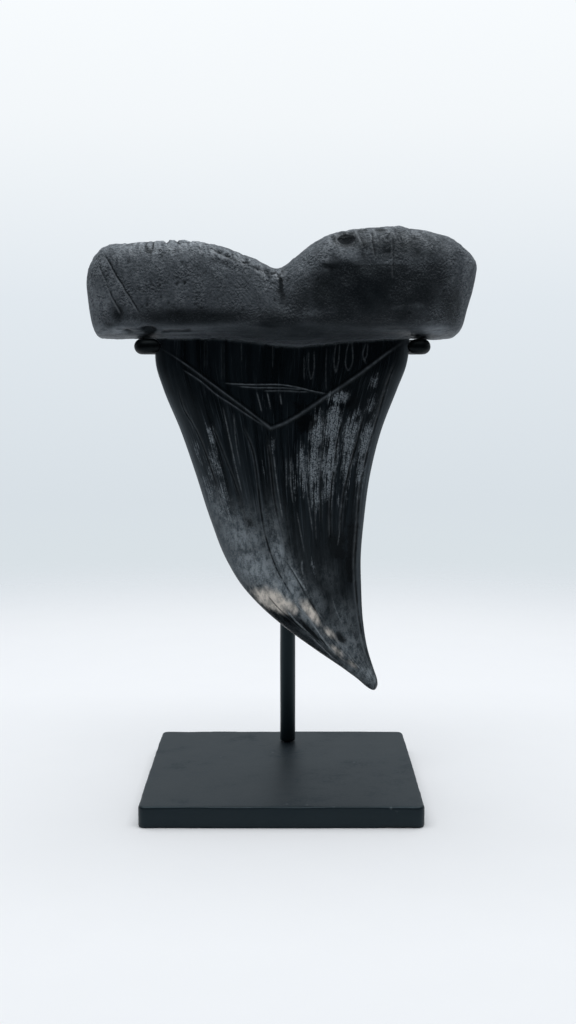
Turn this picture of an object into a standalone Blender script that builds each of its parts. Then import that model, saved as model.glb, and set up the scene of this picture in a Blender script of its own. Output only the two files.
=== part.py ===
"""Fossil megalodon tooth, crown down, resting on a black steel display stand.

The tooth is one solid: a crown lofted along its height, a root lofted along its width and
the raised lines on the crown, all fused. The stand is a square plate, a post, a cradle rod
bent to a U that carries the two root lobes, and the screw that holds the post to the plate.

Origin: centre of the plate's underside. +Z is up and the bulging face of the tooth looks
along -Y. Driving dimensions are in millimetres; MM turns them into Blender's metres.
"""
import math

import bmesh
import bpy
import numpy as np
from mathutils import Vector

MM = 0.001
GAP = 0.3                      # air between neighbouring pieces

# Stand
PLATE_SIDE = 88.9              # 3.5 inch square
PLATE_THICK = 6.8
PLATE_CORNER = 2.4             # radius of the upright edges
PLATE_EDGE = 0.8               # rounding of the top and bottom rims
POST_DIAMETER = 5.2
POST_X = 1.8
ROD_DIAMETER = 5.4
ROD_Z = 148.2                  # axis of the cradle rod
ROD_BEND = 7.0                 # centreline radius of the two bends
ARM_LEFT_X = -46.1
ARM_RIGHT_X = 46.5
ARM_END_Y = -0.2               # how far forward the arms reach
LEFT_CURL = 3.2                # how far the left end turns in over the crown
BACK_Y = 31.45                 # post and crossbar, behind the tooth
SCREW_DIAMETER = 2.5
SCREW_HEAD = 4.7
SCREW_REACH = 9.0              # length of the screw above the plate's underside

# Crown: half thickness in front and behind, and both edges, against height
TIP_Z = 30.1
CROWN_TOP = 158.0              # hidden inside the root
TIP_ROUND = 2.6
LEFT_EDGE = [(30, 30.3), (33, 27.6), (37, 22.5), (44, 12.2), (51, 2.5), (58, -5.8), (66, -13.2),
             (75, -18.8), (89, -24.4), (106, -29.7), (120, -34.5), (134, -40.7), (142, -42.7),
             (150, -42.9), (158, -42.8)]
RIGHT_EDGE = [(30, 33.3), (34, 32.8), (37, 31.7), (44, 29.4), (54, 27.6), (66, 26.8),
              (76, 26.8), (89, 27.7), (106, 30.0), (120, 33.5), (134, 39.1), (142, 42.2), (150, 43.2),
              (158, 43.0)]
EDGE_PLANE_Y = [(30, 12.0), (65, 13.4), (110, 14.2), (144, 14.0), (158, 13.5)]
FRONT_HALF = [(30, 2.0), (45, 3.9), (65, 6.4), (90, 8.9), (115, 10.4), (144, 11.6), (158, 12.0)]
BACK_HALF = [(30, 1.7), (45, 3.0), (65, 4.7), (90, 7.2), (115, 9.6), (135, 12.4), (148, 14.1),
             (158, 9.0)]
EDGE_BLUNT = 0.26              # share of the thickness left at the rounded cutting edges
RIM_WIDTH = 0.13               # bevelled band along the right edge, share of the half width
RIM_DROP = 0.9

# Root: outline from the front, and its faces, against width
ROOT_END = 65.5
ROOT_TOP = [(-65.5, 180.4), (-57, 181.9), (-46, 182.6), (-33, 183.0), (-22, 181.7), (-10, 177.6),
            (-0.6, 174.2), (5, 178.0), (10, 181.9), (16, 185.0), (26, 186.9), (40, 187.2),
            (50, 185.1), (58, 181.4), (65.5, 177.4)]
ROOT_BOTTOM = [(-65.5, 151.2), (-56, 150.8), (-49, 151.2), (-42, 151.3), (-20, 150.3), (4, 147.6),
               (22, 149.7), (42, 151.3), (49, 151.2), (56, 150.6), (65.5, 151.2)]
ROOT_FRONT = [(-65.5, -1.5), (-50, -4.6), (-25, -6.2), (-4, -5.4), (10, -7.4), (28, -8.4),
              (50, -6.4), (65.5, -1.0)]
ROOT_BACK = [(-65.5, 24.6), (-40, 27.8), (0, 28.0), (40, 27.8), (65.5, 24.6)]
ROOT_UPPER_ROUND = (10.5, 13.5)  # rounding of the left and right end: above, seen from the front
ROOT_LOWER_ROUND = (3.9, 4.4)  # below
ROOT_PLAN_ROUND = 15.0         # and seen from above
ROOT_CAP = 9.0                 # stretch at each end with closer sections
ROOT_SQUARENESS = 3.0          # exponent of the lobes' cross-section
LEAN_LEFT = -0.10              # slope of the two lobe ends
LEAN_RIGHT = 0.38
LEAN_Z = 170.0

# Local forms of the root's front: depth (a swelling is negative), then middle and half width
# across (x) and in height (z)
ROOT_FORMS = [(2.2, 18.5, 3.0, 183.0, 3.2),     # round dent below the top of the right lobe
              (1.4, 17.0, 8.0, 168.0, 7.0),     # hollow beside the crease
              (-1.6, 30.0, 13.0, 166.0, 10.0),  # belly of the right lobe
              (1.8, -2.0, 11.0, 178.0, 16.0),   # valley under the notch
              (1.5, -34.0, 26.0, 159.5, 3.6)]   # long groove above the left lobe's lower lip
CREASE = (2.4, -0.4, 3.4)      # depth, x and half width of the upright crease under the notch
BACK_HOLLOW = (2.2, 0.0, 20.0, 170.0, 8.0)
WRINKLE_DEPTH = 0.32           # upright wrinkles along the top of both lobes
LUMP_DEPTH = 0.35
FLUTE_DEPTH = 0.22             # long shallow flutes down the crown

# Raised lines on the crown, as (x, z)
LINE_RADIUS = 0.55
CHEVRON_LEFT = [(-41.0, 147.6), (-30.5, 139.5), (-22.2, 133.5), (-13.9, 127.2), (-7.9, 122.6),
                (-3.6, 119.9)]
CHEVRON_TWIN = [(-34.4, 145.0), (-27.2, 139.2), (-19.9, 133.6), (-14.6, 129.4)]
CHEVRON_RIGHT = [(-4.8, 119.9), (0.4, 121.6), (6.1, 125.2), (14.4, 130.9), (22.7, 136.2), (30.9, 142.1),
                 (39.2, 148.1)]
TWIG_UPPER = [(-18.9, 135.8), (-3.9, 135.8), (6.1, 135.0), (12.0, 132.9), (15.4, 131.5)]
TWIG_LOWER = [(-13.9, 134.9), (-6.6, 134.2), (1.1, 133.9), (7.0, 134.2)]


def smooth(knots, at):
    """Cubic curve through the knots (position, value), without overshooting ends."""
    place = np.array([knot[0] for knot in knots], float)
    value = np.array([knot[1] for knot in knots], float)
    slope = np.gradient(value, place)
    at = np.clip(at, place[0], place[-1])
    span = np.clip(np.searchsorted(place, at) - 1, 0, len(place) - 2)
    width = place[span + 1] - place[span]
    part = (at - place[span]) / width
    rise = value[span + 1] - value[span]
    bend_in = slope[span] * width - rise
    bend_out = rise - slope[span + 1] * width
    return value[span] + part * rise + part * (1 - part) * ((1 - part) * bend_in + part * bend_out)


def ramp(low, high, at):
    """0 below low, 1 above high, eased between them."""
    part = np.clip((at - low) / (high - low), 0.0, 1.0)
    return part * part * (3 - 2 * part)


def dome(distance, radius, power):
    """Height of a rounded end: 0 at the end, 1 from radius inwards."""
    inward = np.clip(distance / radius, 0.0, 1.0)
    return (1 - (1 - inward) ** power) ** (1 / power)


def lens(across):
    """Thickness over the crown's width, from -1 to 1: a lens with rounded rims."""
    lens_part = 1 - across ** 2
    rim_part = np.sqrt(1 - np.abs(across) ** 8)
    return (1 - EDGE_BLUNT) * lens_part + EDGE_BLUNT * rim_part


def crown_width(height):
    """Centre and half width of the crown, closing to a round tip."""
    left = smooth(LEFT_EDGE, height)
    right = smooth(RIGHT_EDGE, height)
    tip = dome(height - TIP_Z, TIP_ROUND, 2)
    return (left + right) / 2, (right - left) / 2 * tip, tip


def crown_front(x, z):
    """Y of the crown's front face at (x, z)."""
    centre, half, tip = crown_width(z)
    across = np.clip((x - centre) / np.maximum(half, 1e-6), -1.0, 1.0)
    rim = RIM_DROP * ramp(1 - RIM_WIDTH, 1.0, across) * ramp(35, 60, z)
    flutes = FLUTE_DEPTH * np.cos(19 * across + 1.1) * (1 - across ** 2) * ramp(40, 70, z)
    depth = smooth(FRONT_HALF, z) * lens(across) * tip - rim * lens(across) + flutes
    return smooth(EDGE_PLANE_Y, z) - depth


def crown_back(x, z):
    """Y of the crown's flatter back face at (x, z)."""
    centre, half, tip = crown_width(z)
    across = np.clip((x - centre) / np.maximum(half, 1e-6), -1.0, 1.0)
    return smooth(EDGE_PLANE_Y, z) + smooth(BACK_HALF, z) * lens(across) * tip


def crown_rings(rings, front_count, back_count):
    """Closed sections of the crown from the tip upwards."""
    rise = 1 - np.cos(np.linspace(0.35, math.pi / 2, 6))
    heights = np.concatenate([TIP_Z + TIP_ROUND * rise,
                              np.linspace(TIP_Z + 2 * TIP_ROUND, CROWN_TOP, rings)])
    result = []
    for height in heights:
        centre, half, tip = crown_width(height)
        front_x = centre + half * np.sin(np.linspace(-0.5, 0.5, front_count + 1) * math.pi)
        back_x = centre + half * np.sin(np.linspace(0.5, -0.5, back_count + 1) * math.pi)
        ring = [(x, crown_front(x, height), height) for x in front_x]
        ring += [(x, crown_back(x, height), height) for x in back_x[1:-1]]
        result.append(ring)
    return result


def hill(x, z, depth, middle_x, half_x, middle_z, half_z):
    """A smooth local form, deepest at its middle."""
    return depth * np.exp(-((x - middle_x) / half_x) ** 2 - ((z - middle_z) / half_z) ** 2)


def root_relief(x, z, facing):
    """How far the root's surface stands in from its plain section; facing is 1 in front."""
    front = np.clip(facing, 0.0, 1.0)
    back = np.clip(-facing, 0.0, 1.0)
    depth, middle, half = CREASE
    forms = depth * np.exp(-((x - middle) / half) ** 2) * ramp(156, 170, z)
    for form in ROOT_FORMS:
        forms = forms + hill(x, z, *form)
    wrinkles = WRINKLE_DEPTH * np.cos(x * 1.15 + 0.8 * np.sin(x * 0.31)) * ramp(170, 181, z)
    lumps = LUMP_DEPTH * np.sin(x * 0.47 + 1.3) * np.sin(z * 0.55 + x * 0.21)
    return front * forms + back * hill(x, z, *BACK_HOLLOW) + (wrinkles + lumps) * (0.4 + 0.6 * front)


def root_rings(rings, count):
    """Closed upright sections of the root from its left end to its right end."""
    cap = ROOT_CAP * (1 - np.cos(np.linspace(0.25, math.pi / 2, 7)))
    spine = np.concatenate([-ROOT_END + cap,
                            np.linspace(-ROOT_END + 1.25 * ROOT_CAP,
                                        ROOT_END - 1.25 * ROOT_CAP, rings),
                            ROOT_END - cap[::-1]])
    angle = np.linspace(0, 2 * math.pi, count, endpoint=False)
    power = 2 / ROOT_SQUARENESS
    unit_y = -np.sign(np.cos(angle)) * np.abs(np.cos(angle)) ** power
    unit_z = np.sign(np.sin(angle)) * np.abs(np.sin(angle)) ** power
    result = []
    for x in spine:
        inward = ROOT_END - abs(x)
        top = smooth(ROOT_TOP, x)
        bottom = smooth(ROOT_BOTTOM, x)
        front = smooth(ROOT_FRONT, x)
        back = smooth(ROOT_BACK, x)
        side = 0 if x < 0 else 1
        upper = (top - bottom) / 2 * dome(inward, ROOT_UPPER_ROUND[side], 2.2)
        lower = (top - bottom) / 2 * dome(inward, ROOT_LOWER_ROUND[side], 2.6)
        half_y = (back - front) / 2 * dome(inward, ROOT_PLAN_ROUND, 2.3)
        z = (top + bottom) / 2 + np.where(unit_z > 0, upper, lower) * unit_z
        relief = root_relief(x, z, -unit_y)
        scale = 1 - relief / max(half_y, 12.0)
        y = (front + back) / 2 + half_y * unit_y * scale
        lean = LEAN_LEFT * ramp(-40, -62, x) + LEAN_RIGHT * ramp(38, 62, x)
        result.append(list(zip(x + lean * (z - LEAN_Z), y, z)))
    return result


def material(name, colour, roughness, metallic):
    """A Principled material with a plain colour."""
    finish = bpy.data.materials.new(name)
    finish.use_nodes = True
    shader = finish.node_tree.nodes["Principled BSDF"]
    shader.inputs["Base Color"].default_value = (*colour, 1.0)
    shader.inputs["Roughness"].default_value = roughness
    shader.inputs["Metallic"].default_value = metallic
    finish.diffuse_color = (*colour, 1.0)
    return finish


def add_object(name, mesh, collection, finish=None):
    """Link a mesh into a collection as an object."""
    thing = bpy.data.objects.new(name, mesh)
    collection.objects.link(thing)
    if finish is not None:
        mesh.materials.append(finish)
    return thing


def loft(name, rings, pole_start, pole_end):
    """Skin closed rings of equal count; None as a pole closes that end with one flat face."""
    form = bmesh.new()
    rows = [[form.verts.new(Vector(point) * MM) for point in ring] for ring in rings]
    count = len(rows[0])
    for low, high in zip(rows, rows[1:]):
        for k in range(count):
            after = (k + 1) % count
            form.faces.new((low[k], low[after], high[after], high[k]))
    for row, pole in ((rows[0], pole_start), (rows[-1], pole_end)):
        if pole is None:
            form.faces.new(row)
            continue
        peak = form.verts.new(Vector(pole) * MM)
        for k in range(count):
            form.faces.new((row[k], row[(k + 1) % count], peak))
    bmesh.ops.recalc_face_normals(form, faces=form.faces)
    mesh = bpy.data.meshes.new(name)
    form.to_mesh(mesh)
    form.free()
    mesh.shade_smooth()
    return mesh


def rod(name, points, radius, resolution, collection, sizes=None):
    """A round rod along points in millimetres, made into a closed mesh."""
    curve = bpy.data.curves.new(name, "CURVE")
    curve.dimensions = "3D"
    curve.bevel_depth = radius * MM
    curve.bevel_resolution = resolution
    curve.use_fill_caps = True
    spline = curve.splines.new("POLY")
    spline.points.add(len(points) - 1)
    for k, place in enumerate(points):
        spline.points[k].co = (*(Vector(place) * MM), 1.0)
        spline.points[k].radius = 1.0 if sizes is None else sizes[k]
    guide = bpy.data.objects.new(name + "_guide", curve)
    collection.objects.link(guide)
    bpy.context.view_layer.update()
    evaluated = guide.evaluated_get(bpy.context.evaluated_depsgraph_get())
    mesh = bpy.data.meshes.new_from_object(evaluated)
    mesh.name = name
    form = bmesh.new()
    form.from_mesh(mesh)
    bmesh.ops.remove_doubles(form, verts=form.verts, dist=0.00001)
    bmesh.ops.recalc_face_normals(form, faces=form.faces)
    form.to_mesh(mesh)
    form.free()
    mesh.materials.clear()
    bpy.data.objects.remove(guide)
    mesh.shade_smooth()
    return mesh


def cylinder(name, radius_low, radius_high, low, high, centre, sides=32):
    """An upright cylinder or cone between two heights, in millimetres."""
    form = bmesh.new()
    bmesh.ops.create_cone(form, cap_ends=True, segments=sides, radius1=radius_low * MM,
                          radius2=radius_high * MM, depth=(high - low) * MM)
    middle = Vector((centre[0], centre[1], (low + high) / 2)) * MM
    bmesh.ops.translate(form, vec=middle, verts=form.verts)
    mesh = bpy.data.meshes.new(name)
    form.to_mesh(mesh)
    form.free()
    return mesh


def boolean(target, tool, operation):
    """Join or cut target with tool, and keep tool as a hidden guide."""
    tool.hide_render = True
    tool.display_type = "WIRE"
    step = target.modifiers.new(tool.name, "BOOLEAN")
    step.operation = operation
    step.solver = "EXACT"
    step.object = tool


def smooth_line(points, count):
    """Points at equal steps of a cubic curve through a few (x, z) points."""
    run = np.concatenate([[0.0], np.cumsum([math.dist(a, b) for a, b in zip(points, points[1:])])])
    at = np.linspace(0, run[-1], count)
    return (smooth(list(zip(run, [point[0] for point in points])), at),
            smooth(list(zip(run, [point[1] for point in points])), at))


def arc_corner(before, corner, after, radius, steps=6):
    """Points of a rounded corner in the plane z = const."""
    towards = (Vector(before) - Vector(corner)).normalized()
    away = (Vector(after) - Vector(corner)).normalized()
    opening = towards.angle(away)
    reach = radius / math.tan(opening / 2)
    centre = Vector(corner) + (towards + away).normalized() * radius / math.sin(opening / 2)
    start = Vector(corner) + towards * reach - centre
    end = Vector(corner) + away * reach - centre
    turn = start.angle(end)
    points = []
    for k in range(steps + 1):
        part = k / steps
        blend = start * math.sin((1 - part) * turn) + end * math.sin(part * turn)
        points.append(tuple(centre + blend / math.sin(turn)))
    return points


def build_tooth(collection, guides, finish):
    """Crown, root and the raised lines on the crown, fused into one solid."""
    tip_x = (smooth(LEFT_EDGE, TIP_Z) + smooth(RIGHT_EDGE, TIP_Z)) / 2
    tip = (tip_x, smooth(EDGE_PLANE_Y, TIP_Z), TIP_Z)
    crown = loft("tooth", crown_rings(38, 28, 16), tip, None)
    tooth = add_object("tooth", crown, collection, finish)

    ends = []
    for side, lean in ((-1, LEAN_LEFT), (1, LEAN_RIGHT)):
        x = side * ROOT_END
        z = (smooth(ROOT_TOP, x) + smooth(ROOT_BOTTOM, x)) / 2
        y = (smooth(ROOT_FRONT, x) + smooth(ROOT_BACK, x)) / 2
        ends.append((x + lean * (z - LEAN_Z), y, z))
    root = add_object("root_form", loft("root_form", root_rings(42, 32), *ends), guides)
    boolean(tooth, root, "UNION")

    lines = (("chevron_left", CHEVRON_LEFT, 1.0), ("chevron_twin", CHEVRON_TWIN, 0.8),
             ("chevron_right", CHEVRON_RIGHT, 1.15), ("twig_upper", TWIG_UPPER, 0.9),
             ("twig_lower", TWIG_LOWER, 0.7))
    for name, line, weight in lines:
        xs, zs = smooth_line(line, 11)
        places = [(x, float(crown_front(x, z)), z) for x, z in zip(xs, zs)]
        sizes = [0.35] + [1.0] * (len(places) - 2) + [0.35]
        ridge = rod(name, places, LINE_RADIUS * weight, 2, guides, sizes)
        boolean(tooth, add_object(name, ridge, guides), "UNION")
    return tooth


def build_plate(collection, guides, finish):
    """The square plate with rounded rims and the screw's countersunk hole."""
    form = bmesh.new()
    bmesh.ops.create_cube(form, size=1.0)
    bmesh.ops.scale(form, vec=Vector((PLATE_SIDE, PLATE_SIDE, PLATE_THICK)) * MM, verts=form.verts)
    bmesh.ops.translate(form, vec=Vector((0, 0, PLATE_THICK / 2)) * MM, verts=form.verts)
    upright = [edge for edge in form.edges
               if abs(edge.verts[0].co.z - edge.verts[1].co.z) > PLATE_THICK / 2 * MM]
    bmesh.ops.bevel(form, geom=upright, offset=PLATE_CORNER * MM, segments=5, profile=0.5,
                    affect="EDGES")
    mesh = bpy.data.meshes.new("base_plate")
    form.to_mesh(mesh)
    form.free()
    plate = add_object("base_plate", mesh, collection, finish)
    rims = plate.modifiers.new("rounded_rims", "BEVEL")
    rims.width = PLATE_EDGE * MM
    rims.segments = 2
    rims.limit_method = "ANGLE"
    rims.angle_limit = math.radians(60)

    centre = (POST_X, BACK_Y)
    hole = cylinder("screw_hole", SCREW_DIAMETER / 2 + GAP, SCREW_DIAMETER / 2 + GAP,
                    -1.0, PLATE_THICK + 1.0, centre)
    boolean(plate, add_object("screw_hole", hole, guides), "DIFFERENCE")
    sink_depth = (SCREW_HEAD - SCREW_DIAMETER) / 2 + 2 * GAP
    sink = cylinder("countersink", SCREW_HEAD / 2 + 3 * GAP + 1.0, SCREW_DIAMETER / 2 + 2 * GAP,
                    -1.0, sink_depth, centre)
    boolean(plate, add_object("countersink", sink, guides), "DIFFERENCE")
    return plate


def build_post(collection, guides, finish):
    """The post, saddled at the top for the cradle and bored at the foot for the screw."""
    post = add_object("post", cylinder("post", POST_DIAMETER / 2, POST_DIAMETER / 2,
                                       PLATE_THICK + GAP, ROD_Z, (POST_X, BACK_Y)),
                      collection, finish)
    bore = cylinder("post_bore", SCREW_DIAMETER / 2 + GAP, SCREW_DIAMETER / 2 + GAP,
                    0.0, SCREW_REACH + 2.0, (POST_X, BACK_Y))
    boolean(post, add_object("post_bore", bore, guides), "DIFFERENCE")
    reach = POST_DIAMETER
    saddle = rod("post_saddle", [(POST_X - reach, BACK_Y, ROD_Z), (POST_X + reach, BACK_Y, ROD_Z)],
                 ROD_DIAMETER / 2 + GAP, 6, guides)
    boolean(post, add_object("post_saddle", saddle, guides), "DIFFERENCE")
    post.data.set_sharp_from_angle(angle=math.radians(40))
    return post


def build_cradle(collection, guides, finish):
    """One rod bent to a U around the neck of the crown, with rounded ends."""
    radius = ROD_DIAMETER / 2
    left_end = (ARM_LEFT_X + LEFT_CURL, ARM_END_Y - 0.5, ROD_Z)
    left_knee = (ARM_LEFT_X, ARM_END_Y + 0.2, ROD_Z)
    left_back = (ARM_LEFT_X, BACK_Y, ROD_Z)
    right_back = (ARM_RIGHT_X, BACK_Y, ROD_Z)
    right_end = (ARM_RIGHT_X, ARM_END_Y, ROD_Z)
    path = [left_end]
    path += arc_corner(left_end, left_knee, left_back, 2.2, 5)
    path += arc_corner(left_knee, left_back, right_back, ROD_BEND, 8)
    path += arc_corner(left_back, right_back, right_end, ROD_BEND, 8)
    path += [right_end]

    def tipped(end, inner):
        """Extra points of a half-round tip, from the outermost one inwards."""
        along = (Vector(end) - Vector(inner)).normalized()
        steps = [math.radians(angle) for angle in (6, 28, 50, 72)]
        places = [tuple(Vector(end) - along * radius * (1 - math.cos(a))) for a in steps]
        return places, [math.sin(a) for a in steps]

    start, start_sizes = tipped(path[0], path[1])
    finish_tip, finish_sizes = tipped(path[-1], path[-2])
    inner = path[1:-1]
    mesh = rod("cradle", start + inner + finish_tip[::-1], radius, 3, guides,
               start_sizes + [1.0] * len(inner) + finish_sizes[::-1])
    return add_object("cradle", mesh, collection, finish)


def build_screw(collection, guides, finish):
    """Countersunk screw with a hexagon socket, from under the plate into the post."""
    profile = [(0.0, SCREW_REACH), (SCREW_DIAMETER / 2 - 0.3, SCREW_REACH),
               (SCREW_DIAMETER / 2, SCREW_REACH - 0.5),
               (SCREW_DIAMETER / 2, (SCREW_HEAD - SCREW_DIAMETER) / 2 + GAP),
               (SCREW_HEAD / 2, GAP), (0.0, GAP)]
    form = bmesh.new()
    verts = [form.verts.new((r * MM, 0.0, z * MM)) for r, z in profile]
    for a, b in zip(verts, verts[1:]):
        form.edges.new((a, b))
    mesh = bpy.data.meshes.new("post_screw")
    form.to_mesh(mesh)
    form.free()
    screw = add_object("post_screw", mesh, collection, finish)
    screw.location = Vector((POST_X, BACK_Y, 0.0)) * MM
    turned = screw.modifiers.new("turned", "SCREW")
    turned.steps = 20
    turned.render_steps = 20
    turned.use_merge_vertices = True
    turned.merge_threshold = 0.00001
    socket = cylinder("screw_socket", 0.8, 0.8, -0.5, 1.3, (POST_X, BACK_Y), 6)
    boolean(screw, add_object("screw_socket", socket, guides), "DIFFERENCE")
    return screw


def main():
    for thing in list(bpy.data.objects):
        bpy.data.objects.remove(thing)
    scene = bpy.context.scene
    parts = bpy.data.collections.new("megalodon_tooth_on_stand")
    guides = bpy.data.collections.new("guides")
    scene.collection.children.link(parts)
    scene.collection.children.link(guides)

    fossil = material("fossil_enamel_and_root", (0.018, 0.022, 0.027), 0.3, 0.0)
    blacked = [material(name + "_black_coat", (0.022, 0.026, 0.03), 0.5, 0.3)
               for name in ("plate", "post", "cradle")]
    zinc = material("screw_black_oxide", (0.03, 0.03, 0.032), 0.4, 0.9)

    build_tooth(parts, guides, fossil)
    build_plate(parts, guides, blacked[0])
    build_post(parts, guides, blacked[1])
    build_cradle(parts, guides, blacked[2])
    build_screw(parts, guides, zinc)


main()
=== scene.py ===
"""Finish and studio for the fossil megalodon tooth on its black display stand.

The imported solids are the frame. The tooth is skinned again here at a fine step, with its bark,
wrinkles, pits, fluting, cracks and raised lines as real relief, and the stand's plate, post
and cradle get rounder edges. Sizes are in millimetres unless a name says otherwise.
"""
import itertools
import math

import bmesh
import bpy
import numpy as np
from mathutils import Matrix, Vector


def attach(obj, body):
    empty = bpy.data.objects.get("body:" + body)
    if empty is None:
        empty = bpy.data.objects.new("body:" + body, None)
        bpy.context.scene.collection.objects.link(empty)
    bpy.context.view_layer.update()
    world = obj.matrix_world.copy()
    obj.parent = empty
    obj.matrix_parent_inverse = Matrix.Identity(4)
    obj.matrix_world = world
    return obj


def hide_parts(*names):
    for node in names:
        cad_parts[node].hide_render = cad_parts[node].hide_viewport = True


MM = 0.001
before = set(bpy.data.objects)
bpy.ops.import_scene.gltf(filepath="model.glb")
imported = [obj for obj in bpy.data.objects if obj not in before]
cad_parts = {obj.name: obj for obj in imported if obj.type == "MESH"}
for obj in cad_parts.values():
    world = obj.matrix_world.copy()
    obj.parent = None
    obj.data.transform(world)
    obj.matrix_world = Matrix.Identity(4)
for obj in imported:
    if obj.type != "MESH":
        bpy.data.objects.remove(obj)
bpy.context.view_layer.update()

# ---------------------------------------------------------------- the stand's sizes

GAP = 0.3                      # between a rod and what it stands on or lies in
PLATE_SIDE = 88.9
PLATE_THICK = 6.8
PLATE_CORNER = 2.4
POST_DIAMETER = 5.2
POST_X = 1.8
BACK_Y = 31.45
ROD_DIAMETER = 5.4
ROD_Z = 148.2
ROD_BEND = 7.0
ARM_LEFT_X = -46.1
ARM_RIGHT_X = 46.5
ARM_END_Y = -0.2
LEFT_CURL = 6.4                # how far each arm's tip turns inwards
RIGHT_CURL = 5.2
CRADLE_KNEE = 2.2              # radius of the turn before each tip
POST_SHIFT = 0.15              # the post stands off its drilled place, to the right
COAT_THICK = 0.15

# ---------------------------------------------------------------- the tooth's main form

# Profiles are (height, value) for the crown and (x, value) for the root
TIP_Z = 30.1
CROWN_TOP = 155.0
TIP_ROUND = 2.6
LEFT_EDGE = [
    (30, 30.1), (33, 27.3), (37, 22.1), (44, 11.9), (51, 2.3), (58, -6), (66, -13.4), (75, -18.9),
    (89, -24.4), (106, -29.8), (120, -34.6), (134, -40.3), (142, -42.7), (150, -42.9), (158, -42.8)]
RIGHT_EDGE = [
    (30, 33.3), (34, 32.9), (37, 31.9), (44, 29.7), (54, 28), (66, 27.3), (76, 27.1), (89, 28.1),
    (106, 30.4), (120, 33.9), (134, 39.2), (142, 42.2), (150, 43.2), (158, 43)]
EDGE_PLANE_Y = [(30, 12), (65, 13.4), (110, 14.2), (144, 14), (158, 13.5)]
FRONT_HALF = [(30, 2), (45, 3.9), (65, 6.4), (90, 8.9), (115, 10.4), (144, 11.6), (158, 12)]
BACK_HALF = [(30, 1.7), (45, 3), (65, 4.7), (90, 7.2), (115, 9.6), (135, 12.4), (148, 14.1), (158, 9)]
EDGE_BLUNT = 0.26
RIM_WIDTH = 0.13
RIM_DROP = 0.9
FLUTE_DEPTH = 0.22

ROOT_END = 65.5
ROOT_TOP = [
    (-65.5, 180.4), (-57, 181.9), (-46, 182.6), (-33, 183), (-22, 181.7), (-10, 177.6), (-0.6, 174.2),
    (5, 178), (10, 181.9), (16, 185), (26, 186.9), (40, 187.2), (50, 184.9), (58, 180.6), (65.5, 176.8)]
ROOT_BOTTOM = [
    (-65.5, 151.2), (-56, 150.8), (-49, 151.1), (-42, 151), (-20, 150.3), (4, 147.6), (22, 149.7),
    (42, 151), (49, 151.1), (56, 150.6), (65.5, 151.2)]
ROOT_FRONT = [
    (-65.5, -1.5), (-50, -4.6), (-25, -6.2), (-4, -5.4), (10, -7.4), (28, -8.4), (50, -6.4), (65.5, -1)]
ROOT_BACK = [(-65.5, 24.6), (-40, 27.8), (0, 28), (40, 27.8), (65.5, 24.6)]
ROOT_UPPER_ROUND = (11.4, 13.5)
ROOT_LOWER_ROUND = (3.1, 4.6)
ROOT_PLAN_ROUND = 15.0
ROOT_CAP = 9.0
ROOT_SQUARENESS = 3.0
LEAN_LEFT = -0.10
LEAN_RIGHT = 0.38
LEAN_Z = 170.0
RIGHT_END_SWELL = [
    (151, 1.75), (154, 1.75), (156, 1.3), (158, 0.75), (160, 0.3), (162, 0.05), (165, -0.2),
    (169, -0.2), (172, 0.4), (174.5, 1.1), (176.5, 1.25), (179, 0.8), (182, 0.1)]
# Forms of the root: depth, middle and half size along x, then along z
ROOT_FORMS = [
    (2.2, 18.5, 3, 183, 3.2), (1.4, 17, 8, 168, 7), (-1.6, 30, 13, 166, 10), (1.8, -2, 11, 178, 16),
    (1.5, -34, 26, 159.5, 3.6)]
ROOT_HOLLOWS = [
    (1.8, -43.8, 2.1, 153.6, 0.9), (0.8, -50.7, 1.8, 153.1, 0.8), (1.1, -53.5, 2.6, 158, 2.6)]
PORE = (1.3, 20.7, 2.8, 182.6, 1.8)
KNOBS = [(0.55, -31.9, 1, 182, 1.6), (0.45, 38.6, 1.5, 187, 1.5), (0.3, -48, 2.2, 182, 1.5)]
BACK_HOLLOW = (2.2, 0.0, 20.0, 170.0, 8.0)
CREASE = (2.4, -0.4, 3.4)      # depth, middle and half width of the fold under the notch
# Where the root reaches down to the cradle's arms: height, half x, middle and half size along y
SEAT = (0.42, 3.6, 12.0, 12.0)
WRINKLE_DEPTH = 0.32
LUMP_DEPTH = 0.35

# Lines on the bulging face: points (x, z) of one or two runs, height or depth, half width
CHEVRON_LEFT = [
    (-41, 147.7), (-35.4, 144.5), (-30, 140.9), (-24.6, 136.9), (-19.3, 133), (-13.9, 129.1),
    (-8.6, 125), (-3.7, 121.2)]
CHEVRON_RIGHT = [
    (-3.7, 121.2), (2.1, 123.5), (7.4, 126.8), (12.7, 130.4), (18.1, 134), (23.4, 137.5), (28.8, 141.4),
    (34.2, 145.4), (39.7, 149), (43, 151)]
CHEVRON_TWIN = [
    (-33.5, 140.8), (-27.3, 136.9), (-21.9, 132.4), (-16.6, 129), (-11.3, 125.5), (-5.6, 121.9)]
TWIG_UPPER = [
    (-19.2, 136.2), (-13.9, 135.8), (-5.9, 135.7), (-0.6, 135.7), (4.7, 134.9), (10, 133.6),
    (15.8, 132.5)]
TWIG_LOWER = [(-14.5, 135.1), (-8.6, 134.7), (-3.2, 134.7), (2.1, 134.5), (7, 134.2)]
TWIG_THIRD = [(-6, 133.6), (-0.6, 133.7), (4.7, 133.4), (9, 133.3)]
LINE_STEPS = 24                # points along a line once it is smoothed
LINE_WAVER = 0.14              # how far the scores on the root stray
BORDER_LINES = [(CHEVRON_LEFT, CHEVRON_RIGHT, 0.42, 0.42)]
TWIN_LINES = [(CHEVRON_TWIN, 0.24, 0.22), (TWIG_LOWER, 0.32, 0.18), (TWIG_THIRD, 0.24, 0.18)]
TWIG_LINES = [(TWIG_UPPER, 0.34, 0.18)]
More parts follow.
